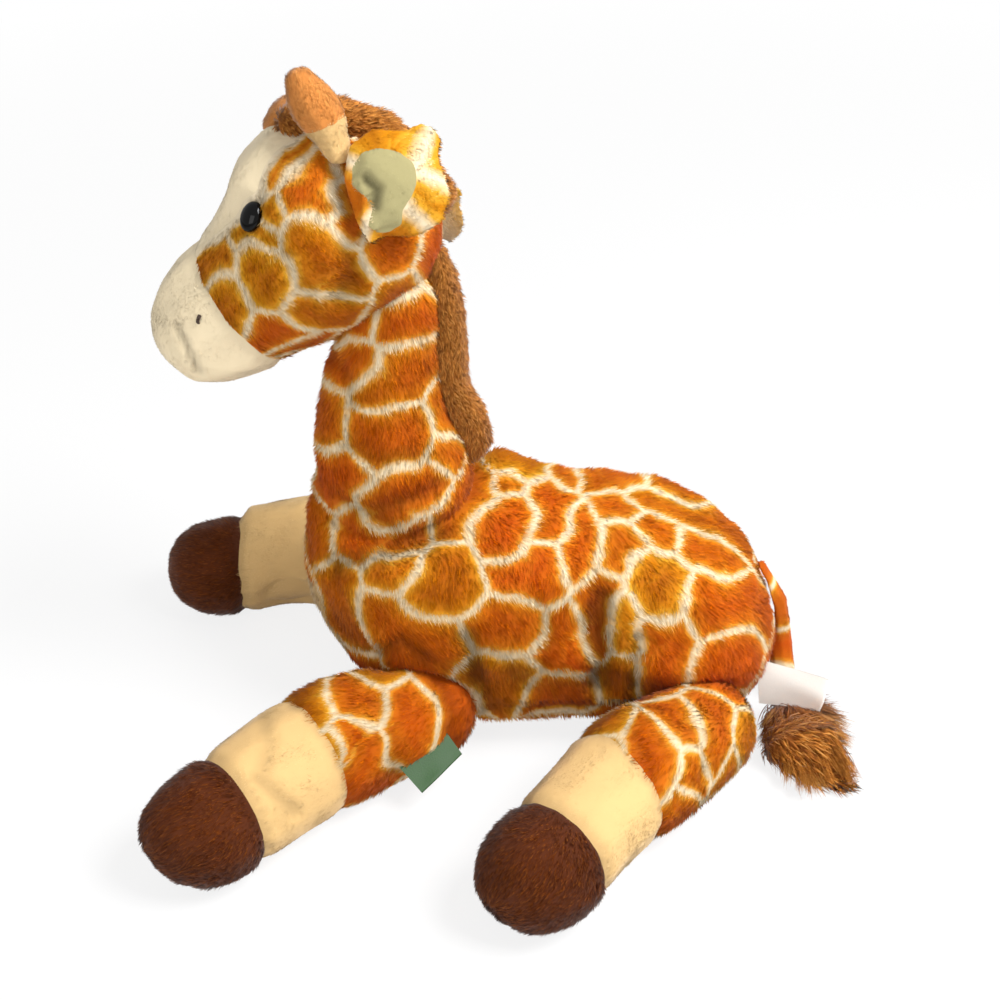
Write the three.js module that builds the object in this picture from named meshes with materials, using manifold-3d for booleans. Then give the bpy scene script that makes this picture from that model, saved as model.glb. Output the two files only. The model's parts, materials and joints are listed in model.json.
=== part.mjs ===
// Plush giraffe lying on its belly with its legs splayed, in millimetres.
// It faces -X, its left side is toward -Y, +Z is up, and it rests on z = 0.
// Each stuffed form is a plush cover round a core of filling, seated in the larger form that it is sewn to.
import * as THREE from 'three';
import { mergeVertices } from 'three/addons/utils/BufferGeometryUtils.js';
import Module from 'manifold-3d';

const wasm = await Module();
wasm.setup();

// Cloth and clearances
const clothThickness = 3;
const seamGap = 0.3;
const seatGap = 2;
const seatLap = 6;
const floorFlat = 0.5;
const overrun = 20;
const mergeTolerance = 1e-4;

// Trunk
const torsoLength = 276;
const torsoWidth = 142;
const torsoHeight = 142;
const torsoFrontShare = 0.518;
const bellyPanelLength = 236;
const bellyPanelWidth = 52;
const bellyPanelTop = 92;

// Neck: a tapered tube with a round seat at each end
const neckLength = 114;
const neckFootRadius = 42;
const neckTopRadius = 25.6;
const neckFootAlongShare = 0.2;
const neckFootRise = 6;
const neckLean = { low: -8, high: 8 };

// Head: a tapered form from the crown to the mouth
const headLength = 172;
const headHeight = 100;
const headWidth = 98;
const crownReach = 50;
const faceSlope = 35;
const blazeWidth = 28;
const muzzleSeamShare = 0.395;
const blazeBackShare = -0.07;
const headNod = { low: -12, high: 12 };

// Eyes and nostrils, placed along the head's axis and up across it
const eyeRadius = 7.5;
const eyeDome = 5;
const eyeShaftRadius = 2;
const eyeShaftLength = 13;
const eyeSink = 1.5;
const eyeWasherRadius = 7;
const eyeWasherThickness = 1.2;
const eyeWasherDrop = 3;
const eyeAlongShare = 0.13;
const eyeUpShare = 0.4;
const nostrilLength = 7;
const nostrilWidth = 3.5;
const nostrilThickness = 1.4;
const nostrilAlongShare = 0.465;
const nostrilUpShare = 0.12;

// Ears: flat cups, each with a lining on the side that it faces
const earLength = 61;
const earRootRadius = 10;
const earSpread = 2.6;
const earFlatness = 0.2;
const earLiningRadius = 7;
const earLiningFlatness = 0.22;
const earLiningLiftShare = 0.8;
const earLift = { low: -3, high: 24 };

// Horns
const hornLength = 56;
const hornStemRadius = 8;
const hornTipRadius = 9;
const hornTipLength = 30;
const hornBend = { low: -12, high: 12 };

// Manes
const maneRadius = 10;
const maneRise = 3.5;
const crownManeRadius = 10;
const crownManeAngles = [2, 32, 62, 92, 118];
const crownManeRiseShares = [0.8, 0.4, 0, -0.1, 0];

// Legs
const legLength = 176;
const legRadius = 30;
const hoofRadius = 31;
const hoofLength = 48;
const cuffLength = 54;
const seatOpening = 16;
const forelegSplay = { low: -12, high: 12 };
const hindlegSplay = { low: -12, high: 12 };
const foldedLegSplay = { low: -12, high: 4 };

// Tail
const tailLength = 120;
const tailRadius = 8;
const tuftLength = 74;
const tuftRootRadius = 10;
const tuftFlatness = 0.5;
const tailSwing = { low: -4, high: 40 };

// Labels
const careLabelLength = 38;
const careLabelWidth = 28;
const careLabelThickness = 1.2;
const careLabelTuck = 11;
const careLabelTurn = -4;
const ribbonLength = 28;
const ribbonWidth = 13;
const ribbonThickness = 1.2;
const ribbonTuck = 2;
const ribbonAngle = -24;

// Facets round a form, and steps over a round end and over a range
const torsoSides = 20;
const headSides = 20;
const neckSides = 16;
const limbSides = 12;
const smallSides = 8;
const ballSides = 20;
const roundSteps = 4;
const smallRoundSteps = 2;
const foldSteps = 4;
const sweepSteps = 5;
const leanSteps = 3;

const plush = (color) => new THREE.MeshStandardMaterial({ color, roughness: 0.95, metalness: 0 });
const spottedPlush = plush(0xc9761c);
const creamPlush = plush(0xf5e2b2);
const muzzlePlush = plush(0xeadab4);
const hoofPlush = plush(0x5f3318);
const manePlush = plush(0xa8642a);
const tuftPlush = plush(0x7a4014);
const earFelt = plush(0xc6c196);
const fibreFilling = plush(0xf4f4f0);
const stitchThread = plush(0x3a2a1e);
const labelCloth = new THREE.MeshStandardMaterial({ color: 0xf2f1ec, roughness: 0.8, metalness: 0 });
const ribbonCloth = new THREE.MeshStandardMaterial({ color: 0x2c8f4e, roughness: 0.6, metalness: 0 });
const eyePlastic = new THREE.MeshStandardMaterial({ color: 0x0b0a09, roughness: 0.08, metalness: 0 });
const washerPlastic = new THREE.MeshStandardMaterial({ color: 0xd8d8d2, roughness: 0.5, metalness: 0 });

const giraffe = new THREE.Group();
const xAxis = new THREE.Vector3(1, 0, 0);
const yAxis = new THREE.Vector3(0, 1, 0);
const zAxis = new THREE.Vector3(0, 0, 1);
const radians = THREE.MathUtils.degToRad;
const quarterTurn = Math.PI / 2;
const sides = [['left', -1], ['right', 1]];
const facetShare = Math.cos(Math.PI / ballSides) ** 2;

function addPiece(name, geometry, material) {
  const mesh = new THREE.Mesh(geometry, material);
  mesh.name = name;
  giraffe.add(mesh);
}

// A closed mesh with merged vertices, its faces turned outward
function closed(geometry) {
  const bare = new THREE.BufferGeometry();
  bare.setAttribute('position', geometry.attributes.position.clone());
  if (geometry.index) bare.setIndex(geometry.index.clone());
  const merged = mergeVertices(bare, mergeTolerance);
  const points = merged.attributes.position;
  const faces = [];
  let volume = 0;
  const corners = [new THREE.Vector3(), new THREE.Vector3(), new THREE.Vector3()];
  for (let start = 0; start < merged.index.count; start += corners.length) {
    const face = corners.map((corner, offset) => merged.index.getX(start + offset));
    if (new Set(face).size < corners.length) continue;
    faces.push(face);
    face.forEach((vertex, corner) => corners[corner].fromBufferAttribute(points, vertex));
    volume += corners[0].dot(corners[1].cross(corners[2]));
  }
  const outward = volume > 0 ? faces : faces.map(([a, b, c]) => [a, c, b]);
  merged.setIndex(outward.flat());
  return merged;
}

function solidOf(geometry) {
  const mesh = closed(geometry);
  return new wasm.Manifold(new wasm.Mesh({
    numProp: 3,
    vertProperties: new Float32Array(mesh.attributes.position.array),
    triVerts: new Uint32Array(mesh.index.array),
  }));
}

function geometryOf(solid) {
  const mesh = solid.getMesh();
  const geometry = new THREE.BufferGeometry();
  geometry.setAttribute('position', new THREE.BufferAttribute(new Float32Array(mesh.vertProperties), 3));
  geometry.setIndex(new THREE.BufferAttribute(new Uint32Array(mesh.triVerts), 1));
  return geometry;
}

const cut = (body, ...cutters) => cutters.reduce((rest, cutter) => rest.subtract(cutter), body);

// The largest separate body of a solid, so that a cut leaves no crumbs
function mainBody(solid) {
  const bodies = solid.decompose();
  return bodies.reduce((best, body) => (body.volume() > best.volume() ? body : best));
}

const addSolid = (name, solid, material) => addPiece(name, geometryOf(mainBody(solid)), material);

function boxSolid(low, high) {
  const size = new THREE.Vector3().subVectors(high, low);
  const box = new THREE.BoxGeometry(size.x, size.y, size.z);
  const middle = new THREE.Vector3().addVectors(low, high).multiplyScalar(0.5);
  return solidOf(box.translate(middle.x, middle.y, middle.z));
}

const floorReach = torsoLength + torsoWidth + legLength + tailLength;
const floorSlab = boxSolid(
  new THREE.Vector3(-floorReach, -floorReach, -overrun),
  new THREE.Vector3(floorReach, floorReach, 0),
);

// Rings of points joined into one closed skin: a looped skin runs back to its first ring
function ringSkin(rings, looped = false) {
  const count = rings[0].length;
  const positions = rings.flat().flatMap((point) => [point.x, point.y, point.z]);
  const faces = [];
  const last = looped ? rings.length : rings.length - 1;
  for (let row = 0; row < last; row += 1) {
    const next = (row + 1) % rings.length;
    for (let column = 0; column < count; column += 1) {
      const beside = (column + 1) % count;
      const a = row * count + column;
      const b = row * count + beside;
      const c = next * count + beside;
      const d = next * count + column;
      faces.push(a, b, c, a, c, d);
    }
  }
  const geometry = new THREE.BufferGeometry();
  geometry.setAttribute('position', new THREE.Float32BufferAttribute(positions, 3));
  geometry.setIndex(faces);
  return geometry;
}

function ring(centre, side, lift, halfSide, halfLift, count) {
  return Array.from({ length: count }, (unused, index) => {
    const angle = (2 * Math.PI * index) / count;
    return centre.clone()
      .addScaledVector(side, halfSide * Math.cos(angle))
      .addScaledVector(lift, halfLift * Math.sin(angle));
  });
}

// A stuffed tube along a curve, with a round seat at its start and a round end.
// swellShares is a table of [share of the way between the two round ends, share of the radius there].
function makeLimb({
  points, startRadius, endRadius, swellShares, reference, facets, steps, flatness = 1, lies = false, seams = [],
}) {
  const curve = new THREE.CatmullRomCurve3(points, false, 'centripetal');
  const length = curve.getLength();
  const span = length - startRadius - endRadius;
  const bodyRadius = (distance) => {
    const share = THREE.MathUtils.clamp((distance - startRadius) / span, 0, 1);
    const row = Math.max(swellShares.findIndex(([place]) => place >= share), 1);
    const [toShare, toSwell] = swellShares[row];
    const [fromShare, fromSwell] = swellShares[row - 1];
    const factor = fromSwell + ((toSwell - fromSwell) * (share - fromShare)) / (toShare - fromShare);
    return THREE.MathUtils.lerp(startRadius, endRadius, share) * factor;
  };
  const radiusAt = (distance, inset) => {
    const fromEnd = length - distance;
    if (distance < startRadius) {
      return Math.sqrt(Math.max(0, (startRadius - inset) ** 2 - (startRadius - distance) ** 2));
    }
    if (fromEnd < endRadius) {
      return Math.sqrt(Math.max(0, (endRadius - inset) ** 2 - (endRadius - fromEnd) ** 2));
    }
    return bodyRadius(distance) - inset;
  };
  const marks = (inset) => {
    const angles = Array.from({ length: steps + 1 }, (unused, step) => (quarterTurn * step) / steps);
    const start = angles.map((angle) => startRadius - (startRadius - inset) * Math.cos(angle));
    const end = angles.map((angle) => length - endRadius + (endRadius - inset) * Math.cos(angle));
    const middle = swellShares.slice(1, -1).map(([share]) => startRadius + share * span);
    return [...start, ...middle, ...end, ...seams.map((seam) => length - seam)].sort((a, b) => a - b);
  };
  // The frame of the tube at a distance along it: its centre, its tangent, and across it
  const frameAt = (distance) => {
    const share = THREE.MathUtils.clamp(distance / length, 0, 1);
    const tangent = curve.getTangentAt(share);
    const centre = curve.getPointAt(share).addScaledVector(tangent, distance - share * length);
    const side = new THREE.Vector3().crossVectors(reference, tangent).normalize();
    const lift = new THREE.Vector3().crossVectors(tangent, side).normalize();
    if (lies) centre.z += bodyRadius(distance) * flatness - floorFlat;
    return { centre, tangent, side, lift };
  };
  const ringAt = (distance, inset, flare = () => 0) => {
    const { centre, side, lift } = frameAt(distance);
    const radius = radiusAt(distance, inset) + flare(distance);
    return ring(centre, side, lift, radius, Math.max(0, (radius + inset) * flatness - inset), facets);
  };
  const rings = (from, to, inset, flare) => {
    const inner = marks(inset).filter((mark) => mark > from + floorFlat && mark < to - floorFlat);
    return [from, ...inner, to].map((distance) => ringAt(distance, inset, flare));
  };
  // A place on the tube's surface at an angle round it, and the direction outward there
  const surfaceAt = (distance, degrees) => {
    const { centre, tangent, side, lift } = frameAt(distance);
    const outward = side.multiplyScalar(Math.cos(radians(degrees)))
      .addScaledVector(lift, Math.sin(radians(degrees)));
    return { place: centre.addScaledVector(outward, radiusAt(distance, 0)), outward, tangent };
  };
  return { length, startRadius, endRadius, rings, surfaceAt, pivot: frameAt(startRadius).centre };
}

// The whole form of a limb, drawn in by inset, or grown where inset is negative
const limbForm = (limb, inset = 0) => solidOf(ringSkin(limb.rings(inset, limb.length - inset, inset)));

// A solid length of a limb between two places, closed flat at both ends
function limbPlug(limb, from, to, inset = 0, flare = () => 0) {
  const rings = limb.rings(from, to, inset, flare);
  const shut = (edge) => {
    const centre = edge.reduce((sum, point) => sum.add(point), new THREE.Vector3()).divideScalar(edge.length);
    return edge.map(() => centre);
  };
  return solidOf(ringSkin([shut(rings[0]), ...rings, shut(rings.at(-1))]));
}

// A ball whose facets all lie outside a radius
function ballSolid(centre, radius) {
  const ball = new THREE.SphereGeometry(radius / facetShare, ballSides, ballSides / 2).rotateX(quarterTurn);
  return solidOf(ball.translate(centre.x, centre.y, centre.z));
}

// The room that a limb needs to turn on the ball at one of its ends: a close seat for the ball,
// and its tube from there on, grown and wider away from the ball
function limbRoom(limb, ball, degrees) {
  const slope = Math.tan(radians(degrees));
  const flare = (distance) => {
    const inside = distance > limb.startRadius && distance < limb.length - limb.endRadius;
    return inside ? Math.abs(distance - ball.at) * slope : 0;
  };
  const tube = ball.at < limb.length / 2
    ? limbPlug(limb, ball.at - seatLap, limb.length, -seatGap, flare)
    : limbPlug(limb, 0, ball.at + seatLap, -seatGap, flare);
  return tube.add(ballSolid(ball.centre, ball.radius + seamGap));
}

// A tube of cloth between two places of a limb
function limbSleeve(limb, from, to) {
  const outer = limb.rings(from, to, 0);
  const inner = limb.rings(from, to, clothThickness).reverse();
  return solidOf(ringSkin([...outer, ...inner], true));
}

// A cap of cloth from a place of a limb to its end
function limbCap(limb, from) {
  const outer = limb.rings(from, limb.length, 0);
  const inner = limb.rings(from, limb.length - clothThickness, clothThickness).reverse();
  return solidOf(ringSkin([...inner, ...outer]));
}

// The room of a carrying form as a piece on it turns about a hinge, seen from that piece
function sweep(solid, place, axis, range, steps = sweepSteps) {
  const back = new THREE.Matrix4().makeTranslation(-place.x, -place.y, -place.z);
  const turned = Array.from({ length: steps }, (unused, step) => {
    const degrees = THREE.MathUtils.lerp(-range.high, -range.low, step / (steps - 1));
    const move = new THREE.Matrix4().makeTranslation(place.x, place.y, place.z)
      .multiply(new THREE.Matrix4().makeRotationAxis(axis, radians(degrees)))
      .multiply(back);
    return solid.transform(move.elements);
  });
  return turned.reduce((whole, next) => whole.add(next));
}

// Trunk: sections across X, as shares of length, centre height, half height and half width
const torsoSectionShares = [
  [0.000, 0.704, 0, 0],
  [0.011, 0.704, 0.31, 0.28],
  [0.040, 0.683, 0.62, 0.54],
  [0.091, 0.634, 0.873, 0.73],
  [0.163, 0.577, 1.03, 0.873],
  [0.246, 0.542, 1.056, 0.944],
  [0.355, 0.521, 1.042, 0.986],
  [0.482, 0.503, 1.007, 1.0],
  [0.627, 0.496, 0.993, 1.02],
  [0.754, 0.475, 0.951, 1.03],
  [0.851, 0.432, 0.845, 0.96],
  [0.924, 0.380, 0.676, 0.80],
  [0.967, 0.340, 0.465, 0.56],
  [0.989, 0.325, 0.239, 0.29],
  [1.000, 0.320, 0, 0],
];
const torsoFront = -torsoFrontShare * torsoLength;

function torsoForm(inset, facets) {
  const shrink = new THREE.Vector3(torsoLength, torsoWidth, torsoHeight)
    .addScalar(-2 * inset)
    .divide(new THREE.Vector3(torsoLength, torsoWidth, torsoHeight));
  const middle = new THREE.Vector3(torsoFront + torsoLength / 2, 0, torsoHeight / 2 - floorFlat);
  const rings = torsoSectionShares.map(([along, height, halfHeight, halfWidth]) => {
    const centre = new THREE.Vector3(torsoFront + along * torsoLength, 0, height * torsoHeight - floorFlat);
    return ring(centre, yAxis, zAxis, (halfWidth * torsoWidth) / 2, (halfHeight * torsoHeight) / 2, facets)
      .map((point) => point.sub(middle).multiply(shrink).add(middle));
  });
  return solidOf(ringSkin(rings));
}

// Neck: its middle and top, as shares of its length from the foot
const neckMiddleShares = [-0.035, 0.48];
const neckTopShares = [0.018, 1];
const neckSwellShares = [[0, 1], [0.16, 1.04], [0.29, 0.99], [0.45, 0.95], [0.62, 0.92], [0.81, 0.92], [1, 1]];
const neckFoot = new THREE.Vector3(torsoFront + neckFootAlongShare * torsoLength, 0, torsoHeight + neckFootRise);
const neckPlace = ([ahead, up]) => neckFoot.clone()
  .addScaledVector(xAxis, ahead * neckLength)
  .addScaledVector(zAxis, up * neckLength);
const neckTop = neckPlace(neckTopShares);
const neck = makeLimb({
  points: [
    neckFoot.clone().addScaledVector(zAxis, -neckFootRadius),
    neckFoot,
    neckPlace(neckMiddleShares),
    neckTop,
    neckTop.clone().addScaledVector(zAxis, neckTopRadius),
  ],
  startRadius: neckFootRadius,
  endRadius: neckTopRadius,
  swellShares: neckSwellShares,
  reference: xAxis,
  facets: neckSides,
  steps: roundSteps,
});

// Legs: each path lies on the floor from its hip to the hoof's end, as shares of the leg's length.
// A hip is placed in shares of the trunk's length and width.
const forelegHipShares = [0.25, 0.42];
const hindlegHipShares = [0.82, 0.53];
const legPathShares = {
  foreleg_left: [[-0.27, -0.19], [-0.61, -0.51], [-0.76, -0.63]],
  foreleg_right: [[-0.25, 0.11], [-0.80, 0.09], [-0.97, 0.07]],
  hindleg_left: [[-0.14, -0.15], [-0.32, -0.32], [-0.52, -0.57], [-0.65, -0.73]],
  hindleg_right: [[-0.22, 0.24], [-0.55, 0.37], [-0.83, 0.39]],
};
const legSwellShares = [[0, 1], [0.16, 1.08], [0.34, 1.1], [0.52, 1.05], [0.72, 1.0], [0.88, 0.98], [1, 1]];

function makeLeg(pathShares, [alongShare, sideShare]) {
  const mirror = Math.sign(pathShares[0][1]);
  const hip = new THREE.Vector3(torsoFront + alongShare * torsoLength, mirror * sideShare * torsoWidth, 0);
  const places = pathShares.map(([x, y]) => new THREE.Vector3(x, y, 0).multiplyScalar(legLength).add(hip));
  const off = new THREE.Vector3().subVectors(places[0], hip).normalize();
  return makeLimb({
    points: [hip.clone().addScaledVector(off, -legRadius), hip, ...places],
    startRadius: legRadius,
    endRadius: hoofRadius,
    swellShares: legSwellShares,
    reference: zAxis,
    lies: true,
    seams: [hoofLength, hoofLength + cuffLength],
    facets: limbSides,
    steps: roundSteps,
  });
}

const legs = {
  foreleg_left: makeLeg(legPathShares.foreleg_left, forelegHipShares),
  foreleg_right: makeLeg(legPathShares.foreleg_right, forelegHipShares),
  hindleg_left: makeLeg(legPathShares.hindleg_left, hindlegHipShares),
  hindleg_right: makeLeg(legPathShares.hindleg_right, hindlegHipShares),
};
const legRanges = {
  foreleg_left: forelegSplay,
  foreleg_right: forelegSplay,
  hindleg_left: hindlegSplay,
  hindleg_right: foldedLegSplay,
};

// The ball at each leg's start stays whole in its seat in the trunk
const legBalls = Object.fromEntries(Object.entries(legs).map(([name, leg]) => [name, ballSolid(leg.pivot, legRadius)]));
const seatRadius = legRadius / facetShare + seamGap / 2;
const legSeats = Object.values(legs).map((leg) => ballSolid(leg.pivot, seatRadius));
const neckFootBall = { at: neckFootRadius, centre: neckFoot, radius: neckFootRadius };
const neckRoomInTorso = limbRoom(neck, neckFootBall, neckLean.high);
const torsoRooms = [...legSeats, neckRoomInTorso];
const torsoGrown = torsoForm(-seamGap, torsoSides);
const torsoCleared = torsoForm(-2 * seamGap, torsoSides);
const torsoHollow = torsoForm(clothThickness, torsoSides / 2);
const torsoFilling = torsoForm(clothThickness + seamGap, torsoSides / 2);
const torsoShell = cut(torsoForm(0, torsoSides), torsoHollow, ...torsoRooms, floorSlab);

// The cream gusset, wide at the chest and pointed under the rump
function gussetSolid(grown) {
  const halfWidth = bellyPanelWidth / 2 + grown;
  const front = torsoFront - overrun;
  const back = torsoFront + bellyPanelLength + grown;
  const outline = new THREE.Shape([
    new THREE.Vector2(front, -halfWidth),
    new THREE.Vector2(back - bellyPanelWidth, -halfWidth),
    new THREE.Vector2(back, 0),
    new THREE.Vector2(back - bellyPanelWidth, halfWidth),
    new THREE.Vector2(front, halfWidth),
  ]);
  const depth = bellyPanelTop + overrun + grown;
  return solidOf(new THREE.ExtrudeGeometry(outline, { depth, bevelEnabled: false }).translate(0, 0, -overrun));
}

addSolid('torso_cover', cut(torsoShell, gussetSolid(seamGap)), spottedPlush);
addSolid('belly_panel', torsoShell.intersect(gussetSolid(0)), creamPlush);
addSolid('torso_stuffing', cut(torsoFilling, ...torsoRooms), fibreFilling);

// Head: sections across its axis, as shares of length, lift, half height and half width
const headSectionShares = [
  [0.000, 0.00, 0, 0],
  [0.025, 0.00, 0.40, 0.40],
  [0.090, 0.015, 0.75, 0.72],
  [0.180, 0.035, 0.99, 0.92],
  [0.290, 0.050, 1.09, 1.00],
  [0.400, 0.047, 1.05, 1.00],
  [0.500, 0.022, 0.94, 0.94],
  [0.600, 0.008, 0.81, 0.84],
  [0.700, 0.003, 0.71, 0.73],
  [0.790, 0.010, 0.66, 0.67],
  [0.870, 0.005, 0.58, 0.62],
  [0.940, 0.00, 0.44, 0.49],
  [0.980, 0.00, 0.26, 0.29],
  [1.000, 0.00, 0, 0],
];
const crownAheadShare = 0.13;
const crownUpShare = 0.38;
const crownCentre = neckTop.clone()
  .addScaledVector(xAxis, -crownAheadShare * headLength)
  .addScaledVector(zAxis, crownUpShare * headHeight);
const faceAxis = xAxis.clone().negate().applyAxisAngle(yAxis, -radians(faceSlope));
const faceLift = new THREE.Vector3().crossVectors(faceAxis, yAxis).negate();
const muzzleSeam = muzzleSeamShare * headLength;

// A place on the head, given along its axis from the crown's centre, up across it and to one side
const headPlace = (along, up, side) => crownCentre.clone()
  .addScaledVector(faceAxis, along)
  .addScaledVector(faceLift, up)
  .addScaledVector(yAxis, side);

// A section of the head at a place along its axis: its lift, half height and half width
function headSection(along) {
  const share = (along + crownReach) / headLength;
  const row = headSectionShares.findIndex(([place]) => place >= share);
  const [to, from] = [headSectionShares[row], headSectionShares[row - 1]];
  const between = (share - from[0]) / (to[0] - from[0]);
  const [, lift, halfHeight, halfWidth] = from.map((value, column) => (
    THREE.MathUtils.lerp(value, to[column], between)));
  return { lift: lift * headHeight, halfUp: (halfHeight * headHeight) / 2, halfSide: (halfWidth * headWidth) / 2 };
}

function headForm(inset, facets) {
  const shrinkAlong = 1 - (2 * inset) / headLength;
  const shrinkSide = 1 - (2 * inset) / headWidth;
  const shrinkUp = 1 - (2 * inset) / headHeight;
  const middle = headLength / 2 - crownReach;
  const rings = headSectionShares.map(([along, lift, halfHeight, halfWidth]) => {
    const place = middle + (along * headLength - headLength / 2) * shrinkAlong;
    const centre = headPlace(place, lift * headHeight * shrinkUp, 0);
    const halfSide = (halfWidth * headWidth * shrinkSide) / 2;
    return ring(centre, yAxis, faceLift, halfSide, (halfHeight * headHeight * shrinkUp) / 2, facets);
  });
  return solidOf(ringSkin(rings));
}

// A box in the head's own directions
function headBox(low, high) {
  const size = new THREE.Vector3().subVectors(high, low);
  const middle = new THREE.Vector3().addVectors(low, high).multiplyScalar(0.5);
  const turn = new THREE.Matrix4().makeBasis(faceAxis, yAxis, new THREE.Vector3().crossVectors(faceAxis, yAxis));
  const place = headPlace(middle.x, middle.z, middle.y);
  const box = new THREE.BoxGeometry(size.x, size.y, size.z).applyMatrix4(turn);
  return solidOf(box.translate(place.x, place.y, place.z));
}

const neckTopBall = { at: neck.length - neckTopRadius, centre: neckTop, radius: neckTopRadius };
const neckRoomInHead = limbRoom(neck, neckTopBall, headNod.high);
const headGrown = headForm(-seamGap, headSides);
const headCleared = headForm(-2 * seamGap, headSides);

// A matrix that sets a small piece on the head's side, its own Y turned outward
function headSideMatrix(along, up, mirror, sink) {
  const { lift, halfUp, halfSide } = headSection(along);
  const side = halfSide * Math.sqrt(1 - ((up - lift) / halfUp) ** 2);
  const axisPlace = headPlace(along, lift, 0);
  const place = headPlace(along, up, mirror * side);
  const outward = place.clone().sub(axisPlace).normalize();
  const turn = new THREE.Quaternion().setFromUnitVectors(yAxis, outward);
  return new THREE.Matrix4().compose(place.addScaledVector(outward, -sink), turn, new THREE.Vector3(1, 1, 1));
}

// Eyes: a glossy dome on a shaft that passes through the cover into a washer
function eyeGeometry() {
  const dome = Array.from({ length: roundSteps }, (unused, step) => (quarterTurn * step) / roundSteps)
    .map((angle) => new THREE.Vector2(eyeRadius * Math.cos(angle), eyeDome * Math.sin(angle)));
  return new THREE.LatheGeometry([
    new THREE.Vector2(0, -eyeShaftLength),
    new THREE.Vector2(eyeShaftRadius, -eyeShaftLength),
    new THREE.Vector2(eyeShaftRadius, 0),
    ...dome,
    new THREE.Vector2(0, eyeDome),
  ], limbSides);
}

const eyeWasherTop = -(clothThickness + eyeWasherDrop);
const eyeWasherBottom = eyeWasherTop - eyeWasherThickness;

function washerGeometry() {
  const inner = eyeShaftRadius + seamGap;
  return new THREE.LatheGeometry([
    new THREE.Vector2(inner, eyeWasherBottom),
    new THREE.Vector2(eyeWasherRadius, eyeWasherBottom),
    new THREE.Vector2(eyeWasherRadius, eyeWasherTop),
    new THREE.Vector2(inner, eyeWasherTop),
    new THREE.Vector2(inner, eyeWasherBottom),
  ], limbSides);
}

// The room that a part of the eye takes in cover and filling, open outward
function eyeRoom(radius, bottom, matrix) {
  const height = overrun - bottom;
  const room = new THREE.CylinderGeometry(radius, radius, height, limbSides);
  return solidOf(room.translate(0, bottom + height / 2, 0).applyMatrix4(matrix));
}

const eyeHoles = [];
const washerRooms = [];
sides.forEach(([side, mirror]) => {
  const matrix = headSideMatrix(eyeAlongShare * headLength, eyeUpShare * headHeight, mirror, eyeSink);
  addPiece(`eye_${side}`, closed(eyeGeometry().applyMatrix4(matrix)), eyePlastic);
  addPiece(`eye_washer_${side}`, closed(washerGeometry().applyMatrix4(matrix)), washerPlastic);
  eyeHoles.push(eyeRoom(eyeShaftRadius + seamGap, -eyeShaftLength - seamGap, matrix));
  eyeHoles.push(eyeRoom(eyeRadius + seamGap, -seamGap, matrix));
  washerRooms.push(eyeRoom(eyeWasherRadius + seamGap, eyeWasherBottom - seamGap, matrix));
});

// Nostrils: small oval patches of thread on the muzzle
sides.forEach(([side, mirror]) => {
  const matrix = headSideMatrix(nostrilAlongShare * headLength, nostrilUpShare * headHeight, mirror, 0);
  const patch = new THREE.SphereGeometry(1, smallSides, smallSides / 2)
    .scale(nostrilLength / 2, nostrilThickness, nostrilWidth / 2)
    .applyMatrix4(matrix);
  addSolid(`nostril_${side}`, cut(solidOf(patch), headGrown), stitchThread);
});

const headHollow = headForm(clothThickness, headSides / 2);
const headFilling = headForm(clothThickness + seamGap, headSides / 2);
const headShell = cut(headForm(0, headSides), headHollow, neckRoomInHead, ...eyeHoles);
const muzzleBox = (grown) => headBox(
  new THREE.Vector3(muzzleSeam - grown, -headWidth, -headHeight),
  new THREE.Vector3(headLength, headWidth, headHeight),
);
const blazeBox = (grown) => headBox(
  new THREE.Vector3(blazeBackShare * headLength - grown, -blazeWidth / 2 - grown, 0),
  new THREE.Vector3(muzzleSeam - seamGap + grown, blazeWidth / 2 + grown, headHeight),
);
addSolid('head_cover', cut(headShell, muzzleBox(seamGap), blazeBox(seamGap)), spottedPlush);
addSolid('blaze_panel', headShell.intersect(blazeBox(0)), creamPlush);
addSolid('muzzle_cover', headShell.intersect(muzzleBox(0)), muzzlePlush);
addSolid('head_stuffing', cut(headFilling, neckRoomInHead, ...eyeHoles, ...washerRooms), fibreFilling);

// Crest of mane over the crown and down the back of the head
const evenSwellShares = [[0, 1], [0.25, 1], [0.5, 1], [0.75, 1], [1, 1]];
const crownMane = makeLimb({
  points: crownManeAngles.map((angle, index) => {
    const outward = faceLift.clone().applyAxisAngle(yAxis, radians(angle));
    const rise = crownManeRiseShares[index] * crownManeRadius;
    return crownCentre.clone().addScaledVector(outward, headHeight / 2 + rise);
  }),
  startRadius: crownManeRadius,
  endRadius: crownManeRadius,
  swellShares: evenSwellShares,
  reference: yAxis,
  facets: smallSides,
  steps: smallRoundSteps,
});
const crownManeForm = cut(limbForm(crownMane), headGrown);
addSolid('crown_mane', crownManeForm, manePlush);

// Neck: a sleeve of cloth open at both seats, its filling, and the mane down its back
const maneStartShare = 0.94;
const maneEndShare = 0.2;
const manePlaces = Array.from({ length: sweepSteps }, (unused, step) => {
  const share = THREE.MathUtils.lerp(maneStartShare, maneEndShare, step / (sweepSteps - 1));
  const { place, outward } = neck.surfaceAt(share * neck.length, THREE.MathUtils.radToDeg(quarterTurn));
  return place.addScaledVector(outward, maneRise);
});
const neckMane = makeLimb({
  points: manePlaces,
  startRadius: maneRadius,
  endRadius: maneRadius,
  swellShares: evenSwellShares,
  reference: xAxis,
  facets: smallSides,
  steps: smallRoundSteps,
});
const headSweep = sweep(headCleared.add(limbForm(crownMane, -seamGap)), neckTop, yAxis, headNod);
const torsoLeanSweep = sweep(torsoGrown, neckFoot, yAxis, neckLean, leanSteps);
addPiece('neck_cover', geometryOf(limbSleeve(neck, seatOpening, neck.length - seatOpening / 2)), spottedPlush);
addPiece('neck_stuffing', geometryOf(limbForm(neck, clothThickness + seamGap)), fibreFilling);
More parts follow.
